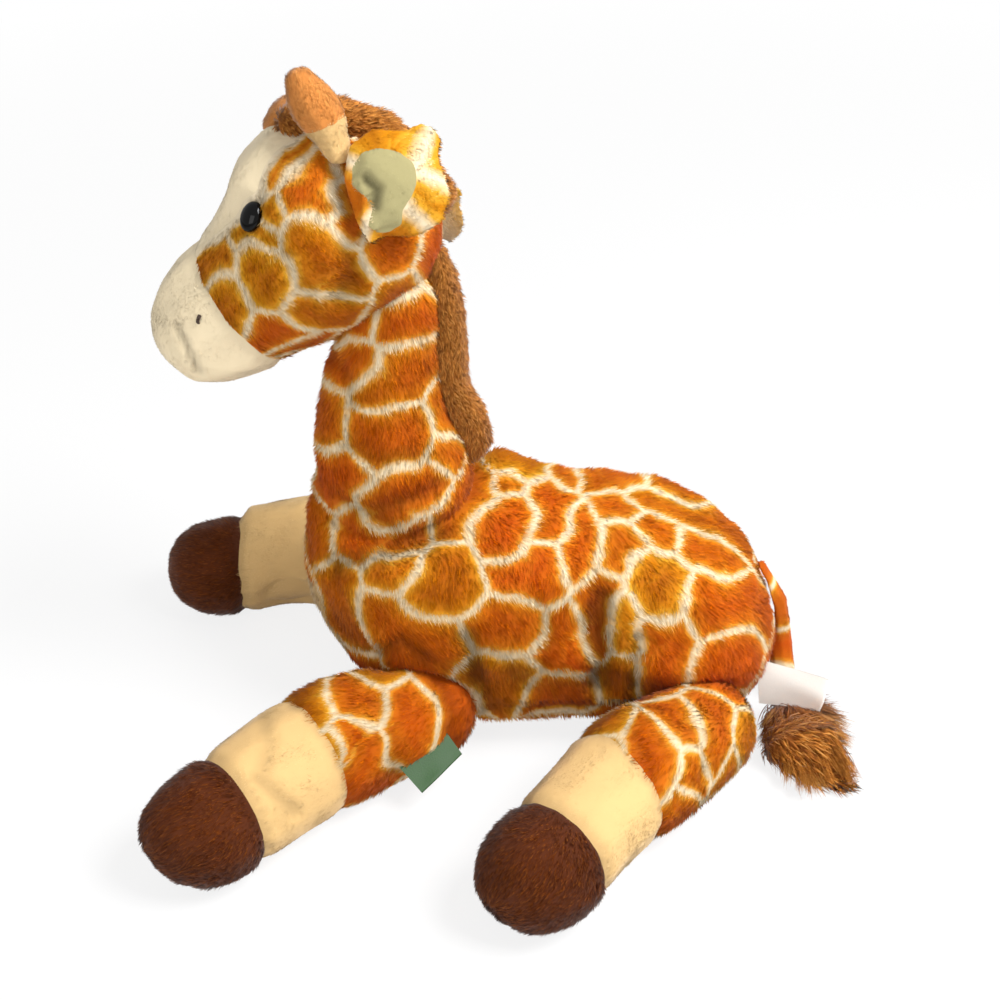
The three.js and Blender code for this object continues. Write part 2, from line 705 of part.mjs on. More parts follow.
addSolid('neck_mane', cut(limbForm(neckMane), limbForm(neck, -seamGap), torsoLeanSweep, headSweep), manePlush);

// Ears: roots in shares of the head's length, width and height from the crown's centre, and directions in shares
const earRootShares = { left: [0.055, -0.49, 0.12], right: [0.05, 0.465, 0.04] };
const earAimShares = { left: [0.61, 0.30, 0.74], right: [0.76, 0.08, -0.65] };
const earFacingShares = { left: [0.2, -0.8, 0.56], right: [0.1, 0.9, 0.35] };
const earSwellShares = [[0, 1], [0.2, 0.8 * earSpread], [0.5, earSpread], [0.8, 0.85 * earSpread], [1, 1]];
const earPathShares = [0, 0.35, 0.7, 1];
const liningPathShares = [0.12, 0.4, 0.7, 0.9];
const headSize = new THREE.Vector3(headLength, headWidth, headHeight);

sides.forEach(([side]) => {
  const root = new THREE.Vector3(...earRootShares[side]).multiply(headSize).add(crownCentre);
  const aim = new THREE.Vector3(...earAimShares[side]).normalize();
  const facing = new THREE.Vector3(...earFacingShares[side]).normalize();
  const normal = facing.clone().addScaledVector(aim, -facing.dot(aim)).normalize();
  const hinge = new THREE.Vector3().crossVectors(aim, normal);
  const earPlace = (share) => root.clone().addScaledVector(aim, share * earLength);
  const shared = { swellShares: earSwellShares, reference: facing, facets: limbSides, steps: smallRoundSteps };
  const ear = makeLimb({
    ...shared,
    points: earPathShares.map(earPlace),
    startRadius: earRootRadius,
    endRadius: earRootRadius,
    flatness: earFlatness,
  });
  const liningShift = earRootRadius * earSpread * earFlatness * earLiningLiftShare;
  const lining = makeLimb({
    ...shared,
    points: liningPathShares.map((share) => earPlace(share).addScaledVector(normal, liningShift)),
    startRadius: earLiningRadius,
    endRadius: earLiningRadius,
    flatness: earLiningFlatness,
  });
  const headRoom = sweep(headCleared, earPlace(earRootRadius / earLength), hinge, earLift);
  const earForm = limbForm(ear);
  const lifted = earForm.translate(normal.clone().multiplyScalar(seamGap).toArray());
  addSolid(`ear_${side}_back`, cut(earForm, headRoom), spottedPlush);
  addSolid(`ear_${side}_lining`, cut(limbForm(lining), lifted, earForm, headRoom), earFelt);
});

// Horns: a cream stem and a fuzzy end. Feet in shares of the head, bends and ends in shares of the horn's length
const hornFootShares = { left: [0.015, -0.25, 0.37], right: [-0.01, 0.255, 0.37] };
const hornBendShares = { left: [-0.06, 0.02, 0.30], right: [-0.24, 0.10, 0.16] };
const hornEndShares = { left: [-0.33, 0.11, 0.91], right: [-0.73, 0.40, -0.07] };
const hornSwellShares = [[0, 1], [0.25, 1], [0.4, 1.3], [0.65, 1.45], [0.85, 1.3], [1, 1]];

sides.forEach(([side]) => {
  const foot = new THREE.Vector3(...hornFootShares[side]).multiply(headSize).add(crownCentre);
  const hornPlace = (shares) => new THREE.Vector3(...shares).multiplyScalar(hornLength).add(foot);
  const horn = makeLimb({
    points: [foot, hornPlace(hornBendShares[side]), hornPlace(hornEndShares[side])],
    startRadius: hornStemRadius,
    endRadius: hornTipRadius,
    swellShares: hornSwellShares,
    reference: yAxis,
    facets: smallSides,
    steps: smallRoundSteps,
  });
  const tipStart = horn.length - hornTipLength;
  const headRoom = sweep(headCleared, horn.pivot, yAxis, hornBend);
  const crest = sweep(limbForm(crownMane, -seamGap), horn.pivot, yAxis, hornBend, leanSteps);
  addSolid(`horn_${side}_stem`, cut(limbPlug(horn, 0, tipStart - seamGap), headRoom, crest), creamPlush);
  addSolid(`horn_${side}_tip`, cut(limbPlug(horn, tipStart, horn.length), headRoom, crest), manePlush);
});

// Legs: spotted cover, cream cuff and brown hoof sewn end to end round one filling
Object.entries(legs).forEach(([name, leg]) => {
  const hoofStart = leg.length - hoofLength;
  const cuffStart = hoofStart - cuffLength;
  const trunk = cut(sweep(torsoCleared, leg.pivot, zAxis, legRanges[name]), legBalls[name]);
  const trim = (solid) => cut(solid, trunk, floorSlab);
  addSolid(`${name}_cover`, trim(limbSleeve(leg, seatOpening, cuffStart - seamGap)), spottedPlush);
  addSolid(`${name}_cuff`, trim(limbSleeve(leg, cuffStart, hoofStart - seamGap)), creamPlush);
  addSolid(`${name}_hoof`, trim(limbCap(leg, hoofStart)), hoofPlush);
  addSolid(`${name}_stuffing`, trim(limbForm(leg, clothThickness + seamGap)), fibreFilling);
});

// Tail: a spotted tube from the rump to the floor, in shares of its length, its width and its root's height.
// The tuft of long hair lies on the floor, its path in shares of its own length from the tail's end.
const tailRootShares = [0.924, 0.62];
const tailPathShares = [
  [0, 0, 1],
  [0.067, 0, 0.95],
  [0.158, 0, 0.73],
  [0.208, -0.017, 0.40],
  [0.233, -0.10, 0.127],
  [0.242, -0.233, 0],
  [0.283, -0.383, 0],
];
const tuftPathShares = [[-0.083, 0.2], [-0.11, 0], [-0.055, -0.31], [0.26, -0.7]];
const tuftSwellShares = [[0, 1], [0.2, 1.8], [0.45, 2.5], [0.7, 2.2], [0.9, 1.4], [1, 1]];
const tailRoot = new THREE.Vector3(
  torsoFront + tailRootShares[0] * torsoLength,
  0,
  tailRootShares[1] * torsoHeight,
);
const tailPlaces = tailPathShares.map(([x, y, height]) => new THREE.Vector3(
  tailRoot.x + x * tailLength,
  tailRoot.y + y * tailLength,
  THREE.MathUtils.lerp(tailRadius - floorFlat, tailRoot.z, height),
));
const tail = makeLimb({
  points: tailPlaces,
  startRadius: tailRadius,
  endRadius: tailRadius,
  swellShares: evenSwellShares,
  reference: yAxis,
  facets: smallSides,
  steps: smallRoundSteps,
});
const tailEnd = tailPlaces.at(-1).clone().setZ(0);
const tuft = makeLimb({
  points: tuftPathShares.map(([x, y]) => new THREE.Vector3(x, y, 0).multiplyScalar(tuftLength).add(tailEnd)),
  startRadius: tuftRootRadius,
  endRadius: tuftRootRadius,
  swellShares: tuftSwellShares,
  reference: zAxis,
  flatness: tuftFlatness,
  lies: true,
  facets: limbSides,
  steps: smallRoundSteps,
});
const trunkBehind = sweep(torsoGrown, tail.pivot, zAxis, tailSwing);
const tailForm = limbForm(tail);
addSolid('tail_cover', cut(tailForm, trunkBehind, floorSlab), spottedPlush);
const tailRoom = limbForm(tail, -2 * seamGap);
addSolid('tail_tuft', cut(limbForm(tuft), tailRoom, tailForm, trunkBehind, floorSlab), tuftPlush);

// A strip folded back on itself, its fold at the far end
function foldedStrip(length, width, thickness) {
  const split = thickness / 4;
  const outline = new THREE.Shape();
  outline.moveTo(0, thickness);
  outline.lineTo(length - thickness, thickness);
  outline.absarc(length - thickness, 0, thickness, quarterTurn, -quarterTurn, true);
  outline.lineTo(0, -thickness);
  outline.lineTo(0, -split);
  outline.lineTo(length - thickness, -split);
  outline.lineTo(length - thickness, split);
  outline.lineTo(0, split);
  outline.closePath();
  return new THREE.ExtrudeGeometry(outline, { depth: width, bevelEnabled: false, curveSegments: foldSteps });
}

// A white label in the rump seam
const careLabelSideShare = -0.254;
const careLabelHeightShare = 0.15;
const careLabel = foldedStrip(careLabelLength, careLabelWidth, careLabelThickness)
  .rotateZ(radians(careLabelTurn))
  .translate(
    torsoFront + torsoLength - careLabelTuck,
    careLabelSideShare * torsoWidth,
    careLabelHeightShare * torsoHeight,
  );
addSolid('care_label', cut(solidOf(careLabel), torsoGrown), labelCloth);

// A green ribbon that stands out from the lower side of the left foreleg, its fold along the leg
const ribbonAlongShare = 0.17;
const ribbonSeat = legs.foreleg_left.surfaceAt(ribbonAlongShare * legs.foreleg_left.length, ribbonAngle);
const ribbonTurn = new THREE.Matrix4()
  .makeBasis(
    ribbonSeat.outward,
    new THREE.Vector3().crossVectors(ribbonSeat.tangent, ribbonSeat.outward),
    ribbonSeat.tangent,
  )
  .setPosition(ribbonSeat.place.clone().addScaledVector(ribbonSeat.outward, -ribbonTuck));
const ribbon = foldedStrip(ribbonWidth, ribbonLength, ribbonThickness).applyMatrix4(ribbonTurn);
addSolid('ribbon_tag', cut(solidOf(ribbon), limbForm(legs.foreleg_left, -seamGap), floorSlab), ribbonCloth);

export default giraffe;
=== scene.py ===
import json
import math

import bpy
import numpy as np
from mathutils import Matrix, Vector
from mathutils.bvhtree import BVHTree
from mathutils.kdtree import KDTree


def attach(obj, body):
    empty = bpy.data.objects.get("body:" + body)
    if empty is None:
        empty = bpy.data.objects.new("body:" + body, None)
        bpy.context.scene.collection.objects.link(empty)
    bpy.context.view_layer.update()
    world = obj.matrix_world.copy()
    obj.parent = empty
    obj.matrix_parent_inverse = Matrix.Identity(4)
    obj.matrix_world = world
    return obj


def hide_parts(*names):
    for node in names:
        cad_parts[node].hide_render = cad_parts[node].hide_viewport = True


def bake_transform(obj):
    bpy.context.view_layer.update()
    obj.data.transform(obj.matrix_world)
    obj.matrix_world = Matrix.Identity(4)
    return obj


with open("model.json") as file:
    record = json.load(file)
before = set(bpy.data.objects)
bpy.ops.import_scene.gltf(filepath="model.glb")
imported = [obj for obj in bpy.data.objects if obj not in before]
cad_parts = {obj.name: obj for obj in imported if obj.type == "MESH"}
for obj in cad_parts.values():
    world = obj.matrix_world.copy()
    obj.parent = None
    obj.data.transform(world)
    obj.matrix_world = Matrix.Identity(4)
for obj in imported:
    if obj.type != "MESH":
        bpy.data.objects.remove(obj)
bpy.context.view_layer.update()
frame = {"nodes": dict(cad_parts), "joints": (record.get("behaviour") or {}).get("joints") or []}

MM = 0.001
ENDLESS = 1e9
TINY = 1e-9

# The camera that the photograph was taken with: in front of the left side, looking down.
CAMERA_PLACE = (-30.5, -679.8, 592.5)
CAMERA_TARGET = (-30.5, 0.0, 134.0)
PICTURE_SIDE = 1000
FOCAL_PIXELS = 1450
SENSOR_WIDTH = 36.0
PIXELS_PER_MM = 1.8

# How fine the skins are, and how far each lies inside its CAD solid: millimetres, as all lengths below.
TRUNK_VOXEL = 3.0
LIMB_VOXEL = 2.4
SMALL_VOXEL = 1.5
EAR_VOXEL = 1.0
COVER_INSET = -3.0
EAR_INSET = 0.5
HORN_INSET = 0.2

# Seams and folds, and how far the filling presses the cloth out between them.
SEAM_REACH = 4.0
SEAM_ROUNDS = 6
SEAM_DEPTH = 1.8
SOFT_SEAM_DEPTH = 0.8
# The depth of a fold at which the painted shade in it is darkest.
FOLD_SHADE_FULL = 4.0
FILL_PRESSURE = 4.0
PRESS_FRAMES = 20
TRUNK_SWELL = 3.0
LIMB_SWELL = 2.0

# Working values: points of a line at a time, pixels between them, when two covers count as equally near, and how
# far a face may turn from the camera and still count as seen.
LINE_CHUNK = 200
LINE_STEP = 3
COVER_TIE = 1e-6
FACING = 0.1

# Room that the trunk gives the tail and the far foreleg where they swing past it.
ROOM_STEPS = 7
TAIL_GAP = 5.0
LEG_GAP = 3.0

# How wide a brush draws each form over to meet the photograph.
BRUSH = {"trunk": 16, "head": 15, "leg": 18, "ear": 20, "horn": 25, "mane": 22}

# The manes are laid onto their bed of cloth within a reach, and the foot of each is thinned.
MANE_REACH = 11
MANE_FOOT = 14
FOOT_THINNING = 0.8
# The top of the neck mane runs on behind the ear: the length that shifts, and by how much.
MANE_TOP_LENGTH = 25.0
MANE_TOP_SHIFT = (-6.0, -3.0, 17.0)

# The printed coat: how far apart patches lie that the photograph doesn't show, and how patches end and wave.
SPACING = {"trunk": 33, "head": 26, "leg": 30, "ear": 30, "tail": 20}
PATCH_BLEND = 4.5
LEAST_PATCH = 8.0
COAT_WAVES = [(24, 0.8, 0), (9, 0.25, 9)]
COAT_CHUNK = 4000
RIM_FULL = 10.0
RIM_STRAY = 0.3
UNSEEN_TONES = (0.35, 0.95)

# The pile: roots under the cloth, clumps, and how its lean, turn and length vary as one strokes over it.
BLADE_SINK = 0.6
FLOOR_LIFT = 0.3
CLUMP_SIDE = 3.6
CLUMP_WAVE, CLUMP_WARP = 9, 1.2
CLUMPING = 0.08
TUFT_LENGTHS = (0.75, 1.1)
TUFT_WIDTHS = (0.7, 1.2)
# The backing cloth takes the colour of the pile this far up its tufts, with the painted shade of the roots.
BACKING_LEVEL = 0.25
SHORT_UNTIDY = 0.07
LONG_UNTIDY = 0.2
TURN_WAVE, TURN_SIZE, TURN_STRAY = 40, 0.3, 1.6
LEAN_WAVE, LEAN_SIZE = 25, 0.06
LENGTH_WAVE, LENGTH_SIZE = 12, 0.12
LEAST_LEAN, MOST_LEAN = 0.05, 1.25
SHADING_LEAN, SHADING_STRAY = 0.15, 0.08
PILE_ROUGHNESS = 0.85
# The pile's clouds of tone and grain of roughness: the width of each, with the detail of its noise.
PILE_CLOUDS, PILE_GRAIN = (28, 3.0), (3.5, 2.0)

# The tail's hair: how far its locks reach, how they spread and stray, and how high they arch.
LOCK_REACH = (0.62, 1.0)
ROOT_SPREAD, LOCK_SPREAD = 3.2, 1.6
LOCK_STRAY, HAIR_STRAY = 0.07, 1.5
HAIR_ARCH = 0.12

# Eyes, nostrils and the layers of the labels.
EYE_DOME = 3.6
EYE_NARROWING = 0.75
EYE_SINK = 1.4
STITCH_RISE = 1.2
STITCH_DIP = 1.0
STITCH_RADIUS = 0.4
NOSTRIL_SHARE = 0.7
LABEL_GAP = 1.0


def camera_axes():
    """The camera's place in metres, and its directions ahead, to the right and up."""
    place = np.array(CAMERA_PLACE) * MM
    ahead = np.array(CAMERA_TARGET) * MM - place
    ahead /= np.linalg.norm(ahead)
    right = np.cross(ahead, (0.0, 0.0, 1.0))
    right /= np.linalg.norm(right)
    return place, ahead, right, np.cross(right, ahead)


def pixel_ray(x, y):
    """Start and direction of the line of sight through a pixel of the photograph."""
    place, ahead, right, up = camera_axes()
    half = PICTURE_SIDE / 2
    aim = ahead * FOCAL_PIXELS + right * (x - half) + up * (half - y)
    return place, aim / np.linalg.norm(aim)


def beside(place, x, y):
    """The place that another pixel shows, as far from the camera as the given place."""
    start, aim = pixel_ray(x, y)
    return start + aim * ((place - start) @ aim)


def on_plane(x, y, axis, value):
    """The place that a pixel shows where the coordinate of this axis has the value in millimetres."""
    start, aim = pixel_ray(x, y)
    return start + aim * (value * MM - start[axis]) / aim[axis]


def edge_distance(points, edge):
    """How far outside an edge of pixels each point shows, in pixels; inside it the distance is negative."""
    place, ahead, right, up = camera_axes()
    depth = (points - place) @ ahead
    x = PICTURE_SIDE / 2 + (points - place) @ right / depth * FOCAL_PIXELS
    y = PICTURE_SIDE / 2 - (points - place) @ up / depth * FOCAL_PIXELS
    inside = np.zeros(len(points), bool)
    nearest = np.full(len(points), ENDLESS)
    for (x0, y0), (x1, y1) in zip(edge, edge[1:] + edge[:1]):
        crosses = (y0 > y) != (y1 > y)
        inside ^= crosses & (x < (x1 - x0) * (y - y0) / (y1 - y0 + TINY) + x0)
        span = (x1 - x0) ** 2 + (y1 - y0) ** 2
        share = np.clip(((x - x0) * (x1 - x0) + (y - y0) * (y1 - y0)) / span, 0, 1)
        nearest = np.minimum(nearest, np.hypot(x - x0 - share * (x1 - x0), y - y0 - share * (y1 - y0)))
    return np.where(inside, -nearest, nearest)


def pairs(numbers):
    """The pixels in a flat row of their numbers."""
    return list(zip(numbers[::2], numbers[1::2]))


def unit(vectors):
    return vectors / np.maximum(np.linalg.norm(vectors, axis=-1, keepdims=True), TINY)


def linear(colour):
    """The linear colour of an sRGB hex value."""
    parts = [int(colour[i : i + 2], 16) / 255 for i in (1, 3, 5)]
    parts = [c / 12.92 if c <= 0.04045 else ((c + 0.055) / 1.055) ** 2.4 for c in parts]
    return (*parts, 1.0)


def set_inputs(node, values):
    """Sets inputs of a node, and links those whose value is a socket."""
    for name, value in values.items():
        if isinstance(value, bpy.types.NodeSocket):
            node.id_data.links.new(value, node.inputs[name])
        else:
            node.inputs[name].default_value = value


def add_node(tree, kind, output, values=None, stops=(), **settings):
    """Adds a node, sets it up and returns one of its outputs; stops are a ramp's places and colours."""
    made = tree.nodes.new("ShaderNode" + kind)
    for name, value in settings.items():
        setattr(made, name, value)
    set_inputs(made, values or {})
    points = made.color_ramp.elements if stops else []
    while len(points) < len(stops):
        points.new(1.0)
    for point, (place, colour) in zip(points, stops):
        point.position = place
        point.color = colour
    return made.outputs[output]


def new_material(name):
    """A material with its node tree and its main shader."""
    made = bpy.data.materials.new(name)
    made.use_nodes = True
    return made, made.node_tree, made.node_tree.nodes["Principled BSDF"]


def new_object(name, data):
    """An object in the scene."""
    made = bpy.data.objects.new(name, data)
    bpy.context.scene.collection.objects.link(made)
    return made


def mesh_object(name, co, faces):
    """An object whose smooth mesh has these points and faces of one size."""
    mesh = bpy.data.meshes.new(name)
    mesh.vertices.add(len(co))
    mesh.vertices.foreach_set("co", np.ascontiguousarray(co, np.float32).ravel())
    mesh.loops.add(faces.size)
    mesh.loops.foreach_set("vertex_index", np.ascontiguousarray(faces, np.int32).ravel())
    mesh.polygons.add(len(faces))
    mesh.polygons.foreach_set("loop_start", np.arange(0, faces.size, faces.shape[1], dtype=np.int32))
    mesh.polygons.foreach_set("use_smooth", np.full(len(faces), True))
    mesh.update(calc_edges=True)
    return new_object(name, mesh)


def grid_faces(shape, closed=False):
    """The faces between neighbours in grids of points of this shape, whose rows may close on themselves."""
    index = np.arange(np.prod(shape)).reshape(shape)
    following = np.roll(index, -1, axis=-1)
    sides = [index[..., :-1, :], following[..., :-1, :], following[..., 1:, :], index[..., 1:, :]]
    faces = np.stack(sides, -1)
    return (faces if closed else faces[..., :-1, :]).reshape(-1, 4)


def paint(piece, material, **numbers):
    """Gives a piece its material, and each of its points the numbers that the material reads."""
    for name, values in numbers.items():
        layer = piece.data.attributes.new(name, "FLOAT", "POINT")
        layer.data.foreach_set("value", np.ascontiguousarray(values, np.float32))
    piece.data.materials.append(material)
    return piece


def mesh_points(mesh):
    """The points of a mesh, in metres."""
    co = np.empty(len(mesh.vertices) * 3, np.float32)
    mesh.vertices.foreach_get("co", co)
    return co.reshape(-1, 3).astype(float)


def node_points(name):
    return mesh_points(frame["nodes"][name].data)


def node_centre(name):
    points = node_points(name)
    return (points.min(0) + points.max(0)) / 2


def ripple(points, span, seed):
    """A smooth random number from -1 to 1 at each point, whose waves are about span millimetres long."""
    dice = np.random.default_rng(seed)
    total = np.zeros(len(points))
    waves = 7
    for _ in range(waves):
        direction = dice.normal(size=3)
        direction *= 2 * math.pi / (span * MM) / np.linalg.norm(direction) * dice.uniform(0.6, 1.5)
        total += np.sin(points @ direction + dice.uniform(0, 2 * math.pi))
    return total / math.sqrt(waves) * 1.2


class Skin:
    """The cloth of one sewn form: points, four-sided faces and outward normals."""

    def __init__(self, co, faces):
        self.co = co
        self.faces = faces
        # How deep each point lies in a fold; the pile's material turns this into painted shade.
        self.fold = np.zeros(len(co))
        self.measure()

    def measure(self):
        a, b, c, d = (self.co[self.faces[:, i]] for i in range(4))
        across = np.cross(c - a, d - b) / 2
        self.face_area = np.linalg.norm(across, axis=1)
        self.face_normal = unit(across)
        total = np.zeros_like(self.co)
        for axis in range(3):
            for side in range(4):
                total[:, axis] += np.bincount(self.faces[:, side], across[:, axis], len(self.co))
        self.normal = unit(total)
        self.tree = None

    def surface(self):
        if self.tree is None:
            self.tree = BVHTree.FromPolygons(self.co.tolist(), self.faces.tolist())
        return self.tree

    def at_pixel(self, x, y):
        """Where the skin shows at a pixel of the photograph, or None."""
        start, aim = pixel_ray(x, y)
        hit = self.surface().ray_cast(Vector(start), Vector(aim))[0]
        return None if hit is None else np.array(hit)

    def part(self, chosen):
        """The piece of cloth with only the chosen faces."""
        used, packed = np.unique(self.faces[chosen], return_inverse=True)
        made = Skin(self.co[used], packed.reshape(-1, 4))
        made.normal = self.normal[used]
        made.fold = self.fold[used]
        return made


def discard(piece):
    mesh = piece.data
    bpy.data.objects.remove(piece)
    bpy.data.meshes.remove(mesh)


def sewn_form(nodes, voxel, inset=COVER_INSET, rounds=6):
    """The smooth skin of these CAD nodes, inset millimetres inside them, or outside where it is negative."""
    points, polygons = [], []
    for mesh in (frame["nodes"][name].data for name in nodes):
        base = len(points)
        points += [tuple(v.co) for v in mesh.vertices]
        polygons += [[base + i for i in p.vertices] for p in mesh.polygons]
    mesh = bpy.data.meshes.new("block")
    mesh.from_pydata(points, [], polygons)
    block = new_object("block", mesh)
    remesh = block.modifiers.new("even", "REMESH")
    remesh.mode = "VOXEL"
    remesh.voxel_size = voxel * MM
    soften = block.modifiers.new("soft", "SMOOTH")
    soften.factor = 0.5
    soften.iterations = rounds
    shrink = block.modifiers.new("inset", "DISPLACE")
    shrink.mid_level = 0.0
    shrink.strength = -inset * MM
    shaped = bpy.data.meshes.new_from_object(block.evaluated_get(bpy.context.evaluated_depsgraph_get()))
    co = mesh_points(shaped)
    faces = np.array([tuple(p.vertices) for p in shaped.polygons if len(p.vertices) == 4])
    discard(block)
    bpy.data.meshes.remove(shaped)
    return largest_island(Skin(co, faces))


def largest_island(skin):
    """Keeps the connected part with the most points, which is the outer skin."""
    label = np.arange(len(skin.co))
    while True:
        low = label[skin.faces].min(1)
        new = label.copy()
        for side in range(4):
            np.minimum.at(new, skin.faces[:, side], low)
        new = new[new]
        if np.array_equal(new, label):
            break
        label = new
    island = label[skin.faces[:, 0]]
    names, counts = np.unique(island, return_counts=True)
    return skin.part(island == names[np.argmax(counts)])


def nearest_cover(skin, covers):
    """For each face of the skin, which of the sewn covers it belongs to."""
    centres = skin.co[skin.faces].mean(1)
    best = np.full(len(centres), ENDLESS)
    owner = np.zeros(len(centres), int)
    for index, name in enumerate(covers):
        mesh = frame["nodes"][name].data
        tree = BVHTree.FromPolygons([v.co for v in mesh.vertices], [list(p.vertices) for p in mesh.polygons])
        far = np.array([tree.find_nearest(Vector(c))[3] for c in centres])
        nearer = far < best - COVER_TIE
        best[nearer] = far[nearer]
        owner[nearer] = index
    return owner


def seam_points(skin, owner):
    """Which points lie on a seam, where two covers meet."""
    first = np.full(len(skin.co), owner.max() + 1)
    last = np.full(len(skin.co), -1)
    for side in range(4):
        np.minimum.at(first, skin.faces[:, side], owner)
        np.maximum.at(last, skin.faces[:, side], owner)
    return first != last


def even_seams(skin, owner):
    """Takes the steps out of the seams: each point moves towards the middle of its neighbours on the seam."""
    edges = np.sort(np.stack([skin.faces, np.roll(skin.faces, -1, axis=1)], axis=2).reshape(-1, 2), axis=1)
    sides = np.repeat(owner, 4)
    order = np.lexsort((edges[:, 1], edges[:, 0]))
    edges, sides = edges[order], sides[order]
    shared = (edges[1:] == edges[:-1]).all(1) & (sides[1:] != sides[:-1])
    seam = edges[1:][shared]
    count = np.bincount(seam.ravel(), minlength=len(skin.co))
    inner = count > 1
    for _ in range(SEAM_ROUNDS):
        total = np.zeros_like(skin.co)
        for a, b in ((0, 1), (1, 0)):
            np.add.at(total, seam[:, a], skin.co[seam[:, b]])
        skin.co[inner] = (skin.co[inner] + total[inner] / count[inner, None]) / 2
    skin.measure()


def stuff(skin, held, limit):
    """Lets the filling press the cloth out between held points: a short cloth simulation with pressure."""
    piece = mesh_object("pressed", skin.co, skin.faces)
    seams = piece.vertex_groups.new(name="seams")
    seams.add(np.flatnonzero(held).tolist(), 1.0, "REPLACE")
    cloth = piece.modifiers.new("cloth", "CLOTH")
    cloth.settings.use_pressure = True
    cloth.settings.uniform_pressure_force = FILL_PRESSURE
    cloth.settings.effector_weights.gravity = 0.0
    cloth.settings.vertex_group_mass = "seams"
    cloth.point_cache.frame_start, cloth.point_cache.frame_end = 1, PRESS_FRAMES
    scene = bpy.context.scene
    for number in range(1, PRESS_FRAMES + 1):
        scene.frame_set(number)
    pressed = piece.evaluated_get(bpy.context.evaluated_depsgraph_get())
    move = mesh_points(pressed.data) - skin.co
    far = np.maximum(np.linalg.norm(move, axis=1), TINY)
    skin.co = skin.co + move * np.minimum(1.0, limit * MM / far)[:, None]
    skin.measure()
    scene.frame_set(1)
    discard(piece)


def inside_pixels(skin, edge, margin=0.0, mirrored=False):
    """Which faces look towards the camera and show inside an edge of pixels, or their mirror images do."""
    turn = np.array([1.0, -1.0 if mirrored else 1.0, 1.0])
    shown = edge_distance(skin.co[skin.faces].mean(1) * turn, edge) < -margin
    return shown & (skin.face_normal * turn @ camera_axes()[1] < FACING)


def line_distance(skin, line):
    """How far each point of the skin is from a line of points, in metres."""
    near = np.full(len(skin.co), ENDLESS)
    for start in range(0, len(line), LINE_CHUNK):
        gap = skin.co[:, None, :] - line[None, start : start + LINE_CHUNK, :]
        near = np.minimum(near, np.sqrt((gap**2).sum(2)).min(1))
    return near


def push_in(skin, line, depth, reach):
    """Moves the skin inwards by depth along a line of points, fading over reach, in millimetres."""
    fade = np.exp(-((line_distance(skin, line) / (reach * MM)) ** 2))
    skin.co = skin.co - skin.normal * (fade * depth * MM)[:, None]
    # Records the fold's depth, which the pile's material turns into painted shade.
    skin.fold = np.maximum(skin.fold, np.clip(fade * depth / FOLD_SHADE_FULL, 0, 1))
    skin.measure()


def pull(skin, moves, reach):
    """Draws the form over so that what shows at one pixel shows at another; reach is in millimetres."""
    shift, total = np.zeros_like(skin.co), np.zeros(len(skin.co))
    for x0, y0, x1, y1 in moves:
        hit = skin.at_pixel(x0, y0)
        if hit is not None:
            fade = np.exp(-((np.linalg.norm(skin.co - hit, axis=1) / (reach * MM)) ** 2))
            shift += fade[:, None] * (beside(hit, x1, y1) - hit)
            total += fade
    skin.co = skin.co + shift / np.maximum(total, 1.0)[:, None]
    skin.measure()


def give_room(skin, joint_name, mover, gap):
    """Hollows the skin where the moving node passes it, so that it keeps a gap of so many millimetres."""
    joint = next(j for j in frame["joints"] if j["name"] == joint_name)
    anchor, axis = np.array(joint["pos_m"]), unit(np.array(joint["axis"]))
    points = node_points(mover) - anchor
    swept = []
    for turn in np.radians(np.linspace(*joint["range_deg"], ROOM_STEPS)):
        along = (points @ axis)[:, None] * axis
        swept.append(along + (points - along) * math.cos(turn) + np.cross(axis, points) * math.sin(turn))
    swept = np.concatenate(swept) + anchor
    tree = KDTree(len(swept))
    for index, place in enumerate(swept):
        tree.insert(place, index)
    tree.balance()
    for index, place in enumerate(skin.co):
        _, _, far = tree.find(place)
        if far < gap * MM:
            skin.co[index] -= skin.normal[index] * (gap * MM - far)
    skin.measure()


def settle(skin, bed):
    """Lays the side of a mane that looks at its bed of cloth onto it, and thins the mane's foot."""
    lowest = skin.co[:, 2].min()
    for index, place in enumerate(skin.co):
        spot, _, _, far = bed.surface().find_nearest(Vector(place))
        down = np.array(spot) - place
        laid = far < MANE_REACH * MM and down @ skin.normal[index] > 0
        foot = max(0.0, 1 - (place[2] - lowest) / (MANE_FOOT * MM))
        skin.co[index] += down * (1.0 if laid else FOOT_THINNING * foot**2)
    skin.measure()


def seen_line(skin, pixels):
    """The points of the skin along a line that the photograph shows, given by its pixels."""
    found = []
    for (x0, y0), (x1, y1) in zip(pixels, pixels[1:]):
        steps = max(2, int(math.hypot(x1 - x0, y1 - y0) / LINE_STEP))
        for i in range(steps + 1):
            hit = skin.at_pixel(x0 + (x1 - x0) * i / steps, y0 + (y1 - y0) * i / steps)
            if hit is not None:
                found.append(hit)
    return np.array(found)


def shape_cloth(skin, owner, folds, limit, depth):
    """Fills the form: the cloth swells between its seams and folds, which are then drawn in."""
    seams = seam_points(skin, owner)
    lines = [(seen_line(skin, pairs(pixels)), fold_depth, reach) for fold_depth, reach, *pixels in folds]
    held = seams.copy()
    for line, _, reach in lines:
        held |= line_distance(skin, line) < reach / 2 * MM
    seam_line = skin.co[seams]
    stuff(skin, held, limit)
    for line, fold_depth, reach in [(seam_line, depth, SEAM_REACH), *lines]:
        push_in(skin, line, fold_depth, reach)


